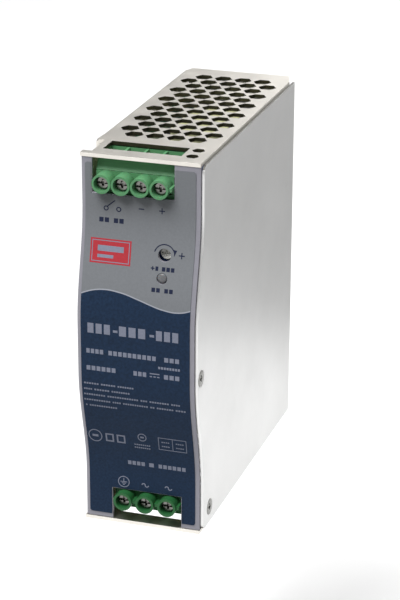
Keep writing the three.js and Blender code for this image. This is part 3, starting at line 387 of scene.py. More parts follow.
@dataclass(frozen=True)
class Finish:
    """A surface finish with uneven colour, uneven gloss and a fine relief.

    Sizes are in millimetres. The colour runs from darker to lighter round its mean by the share that
    "unevenness" gives, in patches of "patch" size.
    """

    name: str
    colour: Colour
    roughness: float
    metallic: float = 0.0
    unevenness: float = 0.04
    patch: float = 9.0
    gloss_change: float = 0.05
    grain: float = 0.25
    relief: float = 0.01
    specks: float = 0.0
    speck_colour: Colour = (225.0, 222.0, 215.0)
    drawn: tuple[float, float, float] | None = None
    line_size: float = 0.4
    coat: float = 0.0
    specular: float = 0.5
    transmission: float = 0.0
    subsurface: float = 0.0

    def base(self, nodes: Nodes, place: bpy.types.NodeSocket) -> bpy.types.NodeSocket:
        """Colour before specks, which a finish with a pattern of its own replaces.

        Args:
            nodes: the material's nodes.
            place: the piece's own coordinates.

        Returns:
            The colour.
        """
        patches = nodes.use(Effects.mottle(), place=place, size=self.patch * MM)["Value"]
        share = nodes.spread(patches, -1.0, 1.0, 0.0, 1.0)
        dark = linear(scaled(self.colour, 1 - self.unevenness))
        light = linear(scaled(self.colour, 1 + self.unevenness))
        return nodes.mix(share, dark, light)

    def relief_height(self, nodes: Nodes, place: bpy.types.NodeSocket) -> bpy.types.NodeSocket:
        """Height of the relief from 0 to 1."""
        height = nodes.use(Effects.grain(), place=place, size=self.grain * MM)["Height"]
        if self.drawn is None:
            return height
        lines = nodes.use(Effects.lines(), place=place, size=self.line_size * MM, stretch=self.drawn)["Value"]
        return nodes.maths("MULTIPLY_ADD", lines, 0.8, nodes.maths("MULTIPLY", height, 0.3))

    def material(self) -> bpy.types.Material:
        """Builds the material, once for each finish.

        Returns:
            The material.
        """
        if self.name in bpy.data.materials:
            return bpy.data.materials[self.name]
        material = bpy.data.materials.new(self.name)
        material.use_nodes = True
        nodes = Nodes(material.node_tree)
        shader = material.node_tree.nodes["Principled BSDF"]
        place = nodes.place()
        colour = self.base(nodes, place)
        gloss = nodes.use(Effects.mottle(), place=place, size=self.patch * 0.6 * MM)["Value"]
        rough = nodes.maths("MULTIPLY_ADD", gloss, self.gloss_change, self.roughness, clamp=True)
        if self.specks:
            mask = nodes.use(Effects.specks(), place=place, size=0.8 * MM, share=self.specks)["Mask"]
            colour = nodes.mix(nodes.maths("MULTIPLY", mask, 0.5), colour, linear(self.speck_colour))
            rough = nodes.maths("MULTIPLY_ADD", mask, 0.2, rough, clamp=True)
        nodes.join(colour, shader.inputs["Base Color"])
        nodes.join(rough, shader.inputs["Roughness"])
        bump = nodes.add("ShaderNodeBump")
        bump.inputs["Strength"].default_value = 1.0
        bump.inputs["Distance"].default_value = self.relief * MM
        nodes.join(self.relief_height(nodes, place), bump.inputs["Height"])
        nodes.join(bump.outputs["Normal"], shader.inputs["Normal"])
        shader.inputs["Metallic"].default_value = self.metallic
        shader.inputs["Coat Weight"].default_value = self.coat
        shader.inputs["Coat Roughness"].default_value = 0.15
        shader.inputs["Specular IOR Level"].default_value = self.specular
        shader.inputs["Transmission Weight"].default_value = self.transmission
        shader.inputs["Subsurface Weight"].default_value = self.subsurface
        shader.inputs["Subsurface Scale"].default_value = MM
        return material


@dataclass(frozen=True)
class PrintedFilm(Finish):
    """Label film: grey above a waved line and dark blue under it, with a pale line between them."""

    lower_colour: Colour = (30.0, 46.0, 68.0)
    line_colour: Colour = (165.0, 168.0, 178.0)
    line_width: float = 0.35
    boundary: tuple[tuple[float, float], ...] = (
        (-18.6, 80.6), (-12.0, 82.5), (-6.0, 82.2), (0.3, 80.6), (4.5, 79.3), (8.4, 78.3), (13.4, 77.9),
        (17.8, 79.0),
    )
    low: float = 70.0
    high: float = 90.0

    def base(self, nodes: Nodes, place: bpy.types.NodeSocket) -> bpy.types.NodeSocket:
        """Two printed colours with the fine speckle of the ink."""
        parts = nodes.add("ShaderNodeSeparateXYZ")
        nodes.join(place, parts.inputs[0])
        left, right = self.boundary[0][0], self.boundary[-1][0]
        across = nodes.spread(parts.outputs["X"], left * MM, right * MM, 0.0, 1.0)
        curve = nodes.add("ShaderNodeFloatCurve")
        line = curve.mapping.curves[0]
        points = [((x - left) / (right - left), (z - self.low) / (self.high - self.low))
                  for x, z in self.boundary]
        line.points[0].location = points[0]
        line.points[1].location = points[-1]
        for point in points[1:-1]:
            line.points.new(*point)
        curve.mapping.update()
        nodes.join(across, curve.inputs["Value"])
        height = nodes.spread(curve.outputs[0], 0.0, 1.0, self.low * MM, self.high * MM)
        above = nodes.maths("SUBTRACT", parts.outputs["Z"], height)
        soft = 0.06 * MM
        is_upper = nodes.spread(above, -soft, soft, 0.0, 1.0)
        over_line = nodes.spread(above, self.line_width * MM - soft, self.line_width * MM + soft, 0.0, 1.0)
        on_line = nodes.maths("SUBTRACT", is_upper, over_line)
        speckle = nodes.use(Effects.mottle(), place=place, size=0.7 * MM)["Value"]
        upper = nodes.mix(nodes.spread(speckle, -1.0, 1.0, 0.0, 1.0),
                          linear(scaled(self.colour, 0.97)), linear(scaled(self.colour, 1.03)))
        lower = nodes.mix(nodes.spread(speckle, -1.0, 1.0, 0.0, 1.0),
                          linear(scaled(self.lower_colour, 0.82)), linear(scaled(self.lower_colour, 1.2)))
        return nodes.mix(on_line, nodes.mix(is_upper, lower, upper), linear(self.line_colour))


@dataclass(frozen=True)
class WoundWire(Finish):
    """Turns of varnished wire or tape round a coil, as fine raised bands across one axis."""

    across: Axis = Axis.Z
    turn: float = 0.9

    def relief_height(self, nodes: Nodes, place: bpy.types.NodeSocket) -> bpy.types.NodeSocket:
        """Rounded bands, one for each turn."""
        parts = nodes.add("ShaderNodeSeparateXYZ")
        nodes.join(place, parts.inputs[0])
        along = nodes.maths("MULTIPLY", parts.outputs[self.across.value], math.pi / (self.turn * MM))
        return nodes.maths("ABSOLUTE", nodes.maths("SINE", along))


class Finishes(Enum):
    """Finishes of the material slots of the record, and of the printing."""

    SHEET = Finish("satin_sheet", (226, 222, 214), 0.36, metallic=0.92, unevenness=0.025, patch=14.0,
                   gloss_change=0.06, grain=0.18, relief=0.006, specks=0.12, speck_colour=(170, 168, 163))
    COVER = Finish("satin_cover", (226, 226, 225), 0.36, metallic=0.85, unevenness=0.015, patch=22.0,
                   gloss_change=0.05, grain=0.2, relief=0.005, specks=0.10, speck_colour=(180, 180, 178))
    # dark olive walls of the vents and slots: raw cut metal, darkened further as painted shade inside the holes
    PUNCHED = Finish("punched_edge", (70, 68, 52), 0.45, metallic=0.7, unevenness=0.15, patch=2.0,
                     drawn=(1.0, 1.0, 0.2), relief=0.02, line_size=0.3)
    # darker grey for the cover's upper and lower rims: raw sheared metal, and painted shade for the dark line along
    # the cover's edges
    SHEARED = Finish("sheared_edge", (104, 103, 100), 0.5, metallic=0.8, unevenness=0.1, patch=3.0,
                     drawn=(1.0, 0.2, 0.2), relief=0.01, line_size=0.3)
    PANEL = Finish("pearl_panel", (146, 145, 154), 0.42, metallic=0.15, unevenness=0.03, patch=6.0,
                   grain=0.16, relief=0.006)
    LABEL = PrintedFilm("printed_film", (124, 127, 131), 0.5, specular=0.12, unevenness=0.02, grain=0.2, relief=0.004)
    ZINC = Finish("zinc_plate", (185, 188, 189), 0.32, metallic=1.0, unevenness=0.06, patch=3.0,
                  gloss_change=0.1, drawn=(1.0, 1.0, 0.06), relief=0.006)
    STEEL = Finish("plated_screw", (118, 118, 114), 0.24, metallic=1.0, unevenness=0.08, patch=1.2,
                   gloss_change=0.1, grain=0.15, relief=0.008)
    COPPER = Finish("tinned_copper", (201, 178, 122), 0.3, metallic=1.0, unevenness=0.08, patch=2.5,
                    gloss_change=0.1, drawn=(1.0, 1.0, 0.08), relief=0.006)
    LIGHT_GREEN = Finish("light_green_moulding", (90, 146, 102), 0.46, specular=0.3, unevenness=0.03, patch=5.0,
                         grain=0.22, relief=0.008, subsurface=0.05)
    DARK_GREEN = Finish("dark_green_moulding", (40, 98, 54), 0.42, specular=0.3, unevenness=0.04, patch=5.0,
                        grain=0.22, relief=0.008, subsurface=0.04)
    BOARD = Finish("solder_mask", (38, 92, 56), 0.3, unevenness=0.12, patch=2.2, grain=0.5,
                   drawn=(1.0, 0.12, 0.12), relief=0.03, line_size=0.9)
    FILM = Finish("insulating_film", (228, 220, 190), 0.28, unevenness=0.03, patch=16.0, relief=0.01,
                  transmission=0.3)
    BLACK = Finish("black_moulding", (40, 41, 44), 0.42, unevenness=0.1, patch=4.0, grain=0.3, relief=0.012)
    BLUE = Finish("blue_sleeve", (36, 52, 92), 0.3, unevenness=0.06, patch=5.0, relief=0.008, coat=0.3)
    YELLOW = WoundWire("yellow_tape", (208, 208, 160), 0.45, unevenness=0.06, patch=4.0, relief=0.05,
                       across=Axis.Z, turn=1.6)
    FERRITE = Finish("ferrite", (62, 63, 66), 0.62, unevenness=0.14, patch=1.5, grain=0.4, relief=0.03)
    ALUMINIUM = Finish("aluminium_sink", (176, 178, 182), 0.38, metallic=0.95, unevenness=0.05, patch=5.0,
                       drawn=(1.0, 1.0, 0.05), relief=0.01)
    WHITE = Finish("white_moulding", (228, 228, 222), 0.46, unevenness=0.03, patch=4.0, relief=0.008)
    LAMP = Finish("diffusing_lens", (106, 107, 110), 0.35, unevenness=0.05, patch=1.0, relief=0.01,
                  subsurface=0.15)
    GLASS = Finish("fuse_glass", (214, 224, 222), 0.08, unevenness=0.02, relief=0.002, transmission=0.7)
    PALE_INK = Finish("pale_ink", (134, 139, 156), 0.5, specular=0.12, unevenness=0.05, patch=0.6, relief=0.003)
    DARK_INK = Finish("dark_ink", (38, 44, 66), 0.5, specular=0.12, unevenness=0.06, patch=0.6, relief=0.003)
    RED_INK = Finish("red_ink", (178, 58, 66), 0.46, specular=0.12, unevenness=0.04, patch=0.8, relief=0.003)
    CARD = Finish("grey_card", (200, 200, 200), 0.9, unevenness=0.01, patch=50.0, specular=0.1)
    FLOOR = Finish("pale_floor", (246, 246, 246), 0.6, unevenness=0.004, patch=60.0, grain=1.0, relief=0.01)


SLOT_FINISH: dict[str, Finishes] = {
    "sheet": Finishes.SHEET, "panel": Finishes.PANEL, "label": Finishes.LABEL, "zinc": Finishes.ZINC,
    "steel": Finishes.STEEL, "copper": Finishes.COPPER, "light_green": Finishes.LIGHT_GREEN,
    "dark_green": Finishes.DARK_GREEN, "board": Finishes.BOARD, "film": Finishes.FILM,
    "black": Finishes.BLACK, "blue": Finishes.BLUE, "yellow": Finishes.YELLOW,
    "ferrite": Finishes.FERRITE, "aluminium": Finishes.ALUMINIUM, "white": Finishes.WHITE,
    "lamp": Finishes.LAMP, "glass": Finishes.GLASS,
}


# ---------------------------------------------------------------- shaping


class Form:
    """A mesh while it is shaped with operators, in millimetres on the case."""

    def __init__(self) -> None:
        """Starts empty."""
        self.bm = bmesh.new()

    @classmethod
    def box(cls, x: Sequence[float], y: Sequence[float], z: Sequence[float]) -> "Form":
        """A box between two ends on each axis.

        Args:
            x: its two ends across the case.
            y: its two ends from front to rear.
            z: its two ends in height.

        Returns:
            The box.
        """
        form = cls()
        size = Vector([abs(ends[1] - ends[0]) for ends in (x, y, z)])
        centre = Vector([(ends[1] + ends[0]) / 2 for ends in (x, y, z)])
        bmesh.ops.create_cube(form.bm, size=1.0, matrix=Matrix.LocRotScale(centre, None, size))
        return form

    @classmethod
    def rod(
        cls, axis: Axis, centre: Sequence[float], radii: Sequence[float], length: float, sides: int = 48
    ) -> "Form":
        """A round or many-sided rod, straight or tapered.

        Args:
            axis: the way it runs.
            centre: the middle of its first end.
            radii: radius at its first and last end.
            length: its length along the axis.
            sides: sides round it.

        Returns:
            The rod.
        """
        form = cls()
        turn = axis.vector.to_track_quat("Z", "Y").to_matrix().to_4x4()
        middle = Vector(centre) + axis.vector * (length / 2)
        bmesh.ops.create_cone(
            form.bm, cap_ends=True, segments=sides, radius1=radii[0], radius2=radii[1], depth=length,
            matrix=Matrix.Translation(middle) @ turn,
        )
        return form

    @classmethod
    def turned(
        cls, axis: Axis, centre: Sequence[float], profile: Sequence[tuple[float, float]], sides: int = 48
    ) -> "Form":
        """A lathe-turned shape whose profile starts and ends on its axis.

        Args:
            axis: the axis of the turn.
            centre: a point on it, from which the profile's places are counted.
            profile: radius and place along the axis of each corner.
            sides: sides round it.

        Returns:
            The turned shape.
        """
        form = cls()
        out = Vector((0.0, 0.0, 1.0)) if axis is not Axis.Z else Vector((1.0, 0.0, 0.0))
        origin = Vector(centre)
        corners = [form.bm.verts.new(origin + out * radius + axis.vector * along)
                   for radius, along in profile]
        edges = [form.bm.edges.new(pair) for pair in zip(corners, corners[1:])]
        bmesh.ops.spin(
            form.bm, geom=corners + edges, cent=origin, axis=axis.vector, dvec=(0.0, 0.0, 0.0),
            angle=2 * math.pi, steps=sides, use_merge=True, use_duplicate=False,
        )
        bmesh.ops.remove_doubles(form.bm, verts=form.bm.verts[:], dist=1e-4)
        bmesh.ops.recalc_face_normals(form.bm, faces=form.bm.faces[:])
        return form

    @classmethod
    def copy_of(cls, node: str) -> "Form":
        """A merged copy of a CAD node, with its flat faces whole again."""
        form = cls()
        form.bm.from_mesh(frame["nodes"][node].data)
        for vert in form.bm.verts:
            vert.co = Vector(Place.of(vert.co))
        bmesh.ops.remove_doubles(form.bm, verts=form.bm.verts[:], dist=MERGE / MM)
        bmesh.ops.dissolve_limit(
            form.bm, angle_limit=FLAT_ANGLE, use_dissolve_boundaries=False, verts=form.bm.verts[:],
            edges=form.bm.edges[:],
        )
        return form

    def slice(self, axis: Axis, places: Iterable[float]) -> "Form":
        """Divides the faces with planes across an axis, and keeps both sides."""
        for place in places:
            bmesh.ops.bisect_plane(
                self.bm, geom=self.bm.verts[:] + self.bm.edges[:] + self.bm.faces[:],
                dist=1e-5, plane_co=axis.vector * place, plane_no=axis.vector,
            )
        return self

    def reshape(self, move: Callable[[Vector], Vector]) -> "Form":
        """Moves each corner to where a function puts it."""
        for vert in self.bm.verts:
            vert.co = move(vert.co)
        return self

    def round_edges(
        self, chosen: Callable[[Vector, Vector], bool], radius: float, segments: int = 4
    ) -> "Form":
        """Rounds the edges that a test of their two ends picks.

        Args:
            chosen: takes an edge's two ends and says whether it is rounded.
            radius: the rounding's width.
            segments: steps of the rounding.

        Returns:
            This form.
        """
        edges = [edge for edge in self.bm.edges if chosen(edge.verts[0].co, edge.verts[1].co)]
        bmesh.ops.bevel(
            self.bm, geom=edges, offset=radius, offset_type="OFFSET", segments=segments,
            profile=BEVEL_PROFILE, affect="EDGES", material=-1, clamp_overlap=True,
        )
        return self

    def _loose(self) -> bpy.types.Object:
        """A plain object of this form, for a Boolean step."""
        mesh = bpy.data.meshes.new("loose")
        self.bm.to_mesh(mesh)
        loose = bpy.data.objects.new("loose", mesh)
        bpy.context.scene.collection.objects.link(loose)
        return loose

    def _combine(self, others: Sequence["Form"], operation: str) -> "Form":
        """Joins or takes away closed forms one by one, and leaves this form as the result."""
        body = self._loose()
        tools = [other._loose() for other in others]
        for tool in tools:
            step = body.modifiers.new("step", "BOOLEAN")
            step.operation = operation
            step.solver = "MANIFOLD"
            step.object = tool
        graph = bpy.context.evaluated_depsgraph_get()
        result = bpy.data.meshes.new_from_object(body.evaluated_get(graph))
        self.bm.free()
        self.bm = bmesh.new()
        self.bm.from_mesh(result)
        bpy.data.meshes.remove(result)
        for used in [body, *tools]:
            mesh = used.data
            bpy.data.objects.remove(used)
            bpy.data.meshes.remove(mesh)
        return self

    def carve(self, cutters: Sequence["Form"]) -> "Form":
        """Takes other closed forms out of this one."""
        return self._combine(cutters, "DIFFERENCE")

    def add(self, others: Sequence["Form"]) -> "Form":
        """Joins other closed forms to this one."""
        return self._combine(others, "UNION")

    def gather(self, others: Iterable["Form"]) -> "Form":
        """Puts separate forms that don't touch beside this one in the same mesh."""
        for other in others:
            mesh = bpy.data.meshes.new("gathered")
            other.bm.to_mesh(mesh)
            self.bm.from_mesh(mesh)
            bpy.data.meshes.remove(mesh)
            other.bm.free()
        return self

    def finish(
        self,
        name: str,
        finish: Finishes,
        body: str,
        replaced: Sequence[str] = (),
        slot: str = "",
        edge: float = 0.0,
        segments: int = 2,
        second: Finishes | None = None,
        on_second: Callable[[Vector, Vector], bool] | None = None,
    ) -> bpy.types.Object:
        """Makes the form a finished piece of the object.

        Args:
            name: the piece's name.
            finish: its finish.
            body: the CAD body that it moves with.
            replaced: CAD nodes that it stands for.
            slot: the record's material slot; not used.
            edge: width of the rounding along its sharp edges.
            segments: steps of that rounding.
            second: a second finish, for chosen faces.
            on_second: takes a face's middle and normal and says whether it has the second finish.

        Returns:
            The piece.
        """
        if on_second:
            for face in self.bm.faces:
                face.material_index = int(on_second(face.calc_center_median(), face.normal))
        for vert in self.bm.verts:
            vert.co = Place.at(*vert.co)
        mesh = bpy.data.meshes.new(name)
        self.bm.to_mesh(mesh)
        self.bm.free()
        mesh.shade_smooth()
        mesh.set_sharp_from_angle(angle=SMOOTH_ANGLE)
        for dress in (finish, second):
            if dress:
                mesh.materials.append(dress.value.material())
        piece = bpy.data.objects.new(name, mesh)
        bpy.context.scene.collection.objects.link(piece)
        if edge:
            rounding = piece.modifiers.new("edges", "BEVEL")
            rounding.width = edge * MM
            rounding.segments = segments
            rounding.limit_method = "ANGLE"
            rounding.angle_limit = SMOOTH_ANGLE
            rounding.profile = BEVEL_PROFILE
            rounding.harden_normals = True
        normals = piece.modifiers.new("normals", "WEIGHTED_NORMAL")
        normals.mode = "FACE_AREA"
        normals.weight = NORMAL_WEIGHT
        normals.keep_sharp = True
        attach(piece, body)
        if replaced:
            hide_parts(*replaced)
        log.info("%s: %d faces, rides on %s", name, len(mesh.polygons), body)
        return piece


def body_of(node: str) -> str:
    """The CAD body that a node rides on."""
    return frame["nodes"][node]["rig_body"]


def slot_of(node: str) -> str:
    """The record's material slot of a node."""
    return next(part["material_slot"] for part in frame["record"]["subparts"] if part["node"] == node)


def waved(form: Form, front: float, rear: float, keep: float = 0.0) -> Form:
    """Bends a form whose front is flat at y = 0 to the waved front.

    Args:
        form: the form, whose y is counted from its own front.
        front: how far its front stands behind the label's surface.
        rear: y of the rear edge, which stays straight; 0 when the whole depth follows the wave.
        keep: depth behind the front that keeps its shape.

    Returns:
        The form.
    """
    form.slice(Axis.Z, WAVE.heights(1.5))

    def move(point: Vector) -> Vector:
        """Moves a corner rearwards by the wave, less and less towards a straight rear edge."""
        step = WAVE.set_back(point.z) + front
        if not rear or point.y <= keep:
            return Vector((point.x, point.y + step, point.z))
        share = (rear - keep - step) / (rear - keep)
        return Vector((point.x, keep + step + (point.y - keep) * share, point.z))

    return form.reshape(move)


# ---------------------------------------------------------------- sub-assemblies


@dataclass
class Opening:
    """The panel's opening round a terminal block."""

    left: float
    right: float
    edge: float
    up: int

    def cutter(self, margin: float = 0.0) -> Form:
        """The opening as a form, widened by a margin."""
        far = 130.0 if self.up > 0 else -5.0
        return Form.box((self.left - margin, self.right + margin), (-5.0, 12.0), (self.edge - self.up * margin, far))


OUTPUT_OPENING = Opening(-16.15, 10.65, 112.6, 1)
INPUT_OPENING = Opening(-10.5, 12.8, 12.2, -1)


@dataclass
class RoundHole:
    """A round hole through the front."""

    x: float
    z: float
    radius: float

    def cutter(self) -> Form:
        """The hole as a rod through the panel and the label."""
        return Form.rod(Axis.Y, (self.x, -2.0, self.z), (self.radius, self.radius), 12.0)


TRIMMER_HOLE = RoundHole(8.0, 95.1, 2.1)
LAMP_HOLE = RoundHole(7.7, 88.0, 1.75)


@dataclass
class Front:
    """The waved front panel and its printed label."""

    sheet: float = 1.0
    label_gap: float = 0.25
    bend: float = 1.5
    keep: float = 2.5
    film: float = 0.15
    film_set_back: float = 0.04
    cut_back: float = 0.3
    joint_closed: float = 0.2
    steps: int = 6

    def panel(self) -> bpy.types.Object:
        """The panel: a face with a bent flange on the left, its face reaching a little past the right edge to close
        the joint.
        """
        low, high = Place.node("front_panel")
        height = (low[2], high[2])
        rear = high[1]
        form = Form.box((low[0], high[0] + self.joint_closed), (0.0, rear), height)
        form.round_edges(lambda a, b: max(a.x, b.x) < low[0] + 0.01 and max(a.y, b.y) < 0.01,
                         self.bend, self.steps)
        inner = Form.box((low[0] + self.sheet, high[0] + 5), (self.sheet, rear + 5), (-5, height[1] + 5))
        inner.round_edges(lambda a, b: max(a.x, b.x) < low[0] + self.sheet + 0.01
                          and max(a.y, b.y) < self.sheet + 0.01, self.bend - self.sheet, self.steps)
        form.carve([inner])
        waved(form, self.label_gap, rear, self.keep)
        form.carve([OUTPUT_OPENING.cutter(), INPUT_OPENING.cutter(), TRIMMER_HOLE.cutter(),
                    LAMP_HOLE.cutter()])
        return form.finish("front_panel_formed", Finishes.PANEL, "case", ["front_panel"], "panel",
                           edge=0.12)

    def label(self) -> bpy.types.Object:
        """The printed film on the panel."""
        low, high = Place.node("front_label")
        form = Form.box((low[0], high[0]), (0.0, self.film), (low[2], high[2]))
        corners = 0.8
        form.round_edges(lambda a, b: abs(a.y - b.y) > self.film / 2, corners, 5)
        waved(form, self.film_set_back, 0.0)
        form.carve([OUTPUT_OPENING.cutter(self.cut_back), INPUT_OPENING.cutter(self.cut_back),
                    TRIMMER_HOLE.cutter(), LAMP_HOLE.cutter()])
        return form.finish("front_label_film", Finishes.LABEL, "case", ["front_label"], "label")


@dataclass(frozen=True)
class Words:
    """A line of plain blocks where a legend stands: no letters, only their rhythm."""

    z: float
    height: float
    runs: tuple[tuple[float, float], ...]
    pitch: float
    fill: float = 0.8

    def blocks(self) -> list[tuple[float, float]]:
        """Left and right end of each block."""
        ends = []
        for left, right in self.runs:
            count = max(1, round((right - left) / self.pitch))
            step = (right - left) / count
            ends += [(left + i * step, left + (i + self.fill) * step) for i in range(count)]
        return ends


@dataclass
class LabelPrint:
    """Printed marks on the label: plain blocks and a few generic signs, laid on the waved film."""

    near: float = 0.012
    far: float = 0.07
    stroke: float = 0.34
    dark: list[Form] = field(default_factory=list)
    pale: list[Form] = field(default_factory=list)
    red: list[Form] = field(default_factory=list)
    pale_words: tuple[Words, ...] = (
        Words(69.9, 3.3, ((-16.1, -7.9), (-5.6, 3.9), (6.6, 14.6)), 2.9, 0.74),
        Words(69.6, 0.8, ((-7.6, -6.1), (4.5, 6.0)), 1.5, 1.0),
        Words(62.1, 1.5, ((-16.6, -10.6), (-9.2, 6.9), (9.3, 14.6)), 1.65, 0.76),
        Words(59.2, 0.8, ((7.3, 14.7),), 0.95, 0.74),
        Words(56.3, 1.5, ((-16.6, -6.5), (-0.9, 3.7), (9.2, 14.7)), 1.65, 0.76),
        Words(50.9, 0.55, ((-17.6, -12.5), (-11.9, -6.9), (-6.3, -0.8)), 0.8, 0.72),
        Words(48.85, 0.55, ((-17.7, -14.8), (-14.2, -9.0), (-8.4, -2.2)), 0.8, 0.72),
        Words(46.9, 0.55, ((-17.8, -10.5), (-9.9, 0.6), (1.2, 3.6), (4.2, 10.8), (11.4, 14.5)), 0.8, 0.72),
        Words(44.9, 0.55, ((-17.9, -8.9), (-8.3, -5.4), (-4.8, 3.7), (4.3, 5.9), (6.5, 12.2), (12.8, 16.3)),
              0.8, 0.72),
        Words(42.85, 0.55, ((-17.5, -16.8), (-16.2, -6.8)), 0.8, 0.72),
        Words(22.4, 1.4, ((-5.0, 1.1), (2.2, 4.3), (5.4, 14.9)), 1.55, 0.76),
        Words(28.6, 0.45, ((-2.3, 3.2),), 0.7, 0.72),
        Words(29.7, 0.45, ((-2.3, 3.2),), 0.7, 0.72),
        Words(31.9, 0.4, ((7.0, 9.8), (11.8, 14.6)), 0.7, 0.72),
        Words(30.3, 0.4, ((7.0, 9.8), (11.8, 14.6)), 0.7, 0.72),
    )
    dark_words: tuple[Words, ...] = (
        Words(104.2, 1.5, ((-13.8, -10.2), (-9.0, -5.4)), 1.8, 0.78),
        Words(90.9, 1.3, ((5.4, 6.6), (7.5, 11.9)), 1.45, 0.76),
        Words(84.4, 1.3, ((4.6, 7.7), (8.8, 11.9)), 1.55, 0.76),
    )

    def _bar(self, x: Sequence[float], z: Sequence[float]) -> Form:
        """A flat printed block."""
        return Form.box(x, (self.near, self.far), z)

    def _line(self, start: Sequence[float], end: Sequence[float], width: float) -> Form:
        """A straight printed stroke between two points (x, z)."""
        a, b = Vector(start), Vector(end)
        along = (b - a).normalized()
        aside = Vector((-along.y, along.x))
        bar = self._bar((0.0, (b - a).length), (-width / 2, width / 2))
        return bar.reshape(lambda p: Vector((
            a.x + along.x * p.x + aside.x * p.z, p.y, a.y + along.y * p.x + aside.y * p.z)))

    def _ring(
        self, centre: Sequence[float], radius: float, width: float, start: float = 0.0, sweep: float = 360.0
    ) -> Form:
        """A printed ring or arc.

        Args:
            centre: its centre, x and z.
            radius: radius of the stroke's middle.
            width: width of the stroke.
            start: angle of its first end from +X towards +Z, in degrees.
            sweep: angle that it covers.

        Returns:
            The ring.
        """
        form = Form()
        turn = math.radians(start)
        out = Vector((math.cos(turn), 0.0, math.sin(turn)))
        middle = Vector((centre[0], 0.0, centre[1]))
        corners = [
            form.bm.verts.new(middle + out * (radius + side * width / 2) + Vector((0.0, y, 0.0)))
            for side, y in ((-1, self.near), (1, self.near), (1, self.far), (-1, self.far))
        ]
        edges = [form.bm.edges.new((corners[i], corners[(i + 1) % 4])) for i in range(4)]
        whole = sweep >= 360.0
        bmesh.ops.spin(
            form.bm, geom=corners + edges, cent=middle, axis=(0.0, -1.0, 0.0), dvec=(0.0, 0.0, 0.0),
            angle=math.radians(sweep), steps=max(6, round(sweep / 9)), use_merge=whole,
            use_duplicate=False,
        )
        if not whole:
            bmesh.ops.holes_fill(form.bm, edges=form.bm.edges[:], sides=4)
        bmesh.ops.recalc_face_normals(form.bm, faces=form.bm.faces[:])
        return form

    def _plus(self, x: float, z: float, arm: float) -> list[Form]:
        """A plus sign."""
        half = self.stroke / 2
        return [self._bar((x - half, x + half), (z - arm, z + arm)),
                self._bar((x - arm, x - half), (z - half, z + half)),
                self._bar((x + half, x + arm), (z - half, z + half))]

    def _frame(self, x: Sequence[float], z: Sequence[float], width: float) -> list[Form]:
        """A rectangle drawn as four strokes."""
        return [self._bar(x, (z[0], z[0] + width)), self._bar(x, (z[1] - width, z[1])),
                self._bar((x[0], x[0] + width), (z[0] + width, z[1] - width)),
                self._bar((x[1] - width, x[1]), (z[0] + width, z[1] - width))]

    def _wave_sign(self, x: float, z: float) -> list[Form]:
        """The sign for alternating current: two half turns."""
        radius = 0.55
        return [self._ring((x - radius, z), radius, self.stroke, 0.0, 180.0),
                self._ring((x + radius, z), radius, self.stroke, 180.0, 180.0)]

    def _contact_sign(self) -> list[Form]:
        """The sign for a switch contact: two rings and an open arm."""
        return [self._ring((-11.56, 107.95), 0.66, self.stroke), self._ring((-7.43, 107.9), 0.66, self.stroke),
                self._line((-11.1, 108.65), (-8.62, 110.66), self.stroke)]

    def _turn_sign(self) -> list[Form]:
        """An arc with an arrowhead round the trimmer."""
        hole = TRIMMER_HOLE
        arc = self._ring((hole.x, hole.z), 3.35, self.stroke, 22.0, 143.0)
        head = Form.rod(Axis.Y, (0.0, self.near, 0.0), (1.0, 1.0), self.far - self.near, 3)
        low = min(vert.co.z for vert in head.bm.verts)
        tip = math.radians(8.0)

        def place(point: Vector) -> Vector:
            """Points the arrowhead down along the arc's end."""
            side, along = point.x * 0.62, (point.z - low) * 1.35
            return Vector((hole.x + 3.45 + side * math.cos(tip) - along * math.sin(tip), point.y,
                           hole.z + 1.9 - along * math.cos(tip) - side * math.sin(tip)))

        head.reshape(place)
        bmesh.ops.recalc_face_normals(head.bm, faces=head.bm.faces[:])
        return [arc, head]

    def _earth_sign(self, x: float, z: float) -> list[Form]:
        """The sign for protective earth."""
        rungs = ((0.0, 1.15), (-0.5, 0.75), (-1.0, 0.35))
        return [self._ring((x, z), 1.85, 0.28), self._bar((x - 0.13, x + 0.13), (z + 0.14, z + 1.3)),
                *[self._bar((x - half, x + half), (z + dz - 0.13, z + dz + 0.13)) for dz, half in rungs]]

    def _marks_row(self) -> list[Form]:
        """Plain rings and frames in place of the row of marks."""
        return [
            self._ring((-15.5, 31.1), 2.2, 0.3), self._bar((-16.5, -14.5), (30.7, 31.5)),
            *self._frame((-12.0, -9.2), (29.4, 32.5), 0.5), *self._frame((-8.2, -5.3), (29.4, 32.5), 0.5),
            self._ring((0.5, 32.7), 1.35, 0.3), self._bar((-0.1, 1.1), (32.4, 33.0)),
            *self._frame((5.9, 15.4), (28.9, 33.6), 0.22), self._bar((10.6, 10.8), (29.12, 33.38)),
        ]

    def _badge(self) -> None:
        """A plain red badge with a pale frame and two pale bars."""
        self.red.append(self._bar((-16.3, -2.9), (90.65, 98.3)))
        lift = 0.008
        marks = [*self._frame((-15.8, -3.4), (91.15, 97.8), 0.25), self._bar((-13.9, -5.3), (94.4, 96.2)),
                 self._bar((-13.9, -8.6), (92.4, 93.4))]
        self.pale += [mark.reshape(lambda p: Vector((p.x, p.y - lift, p.z))) for mark in marks]

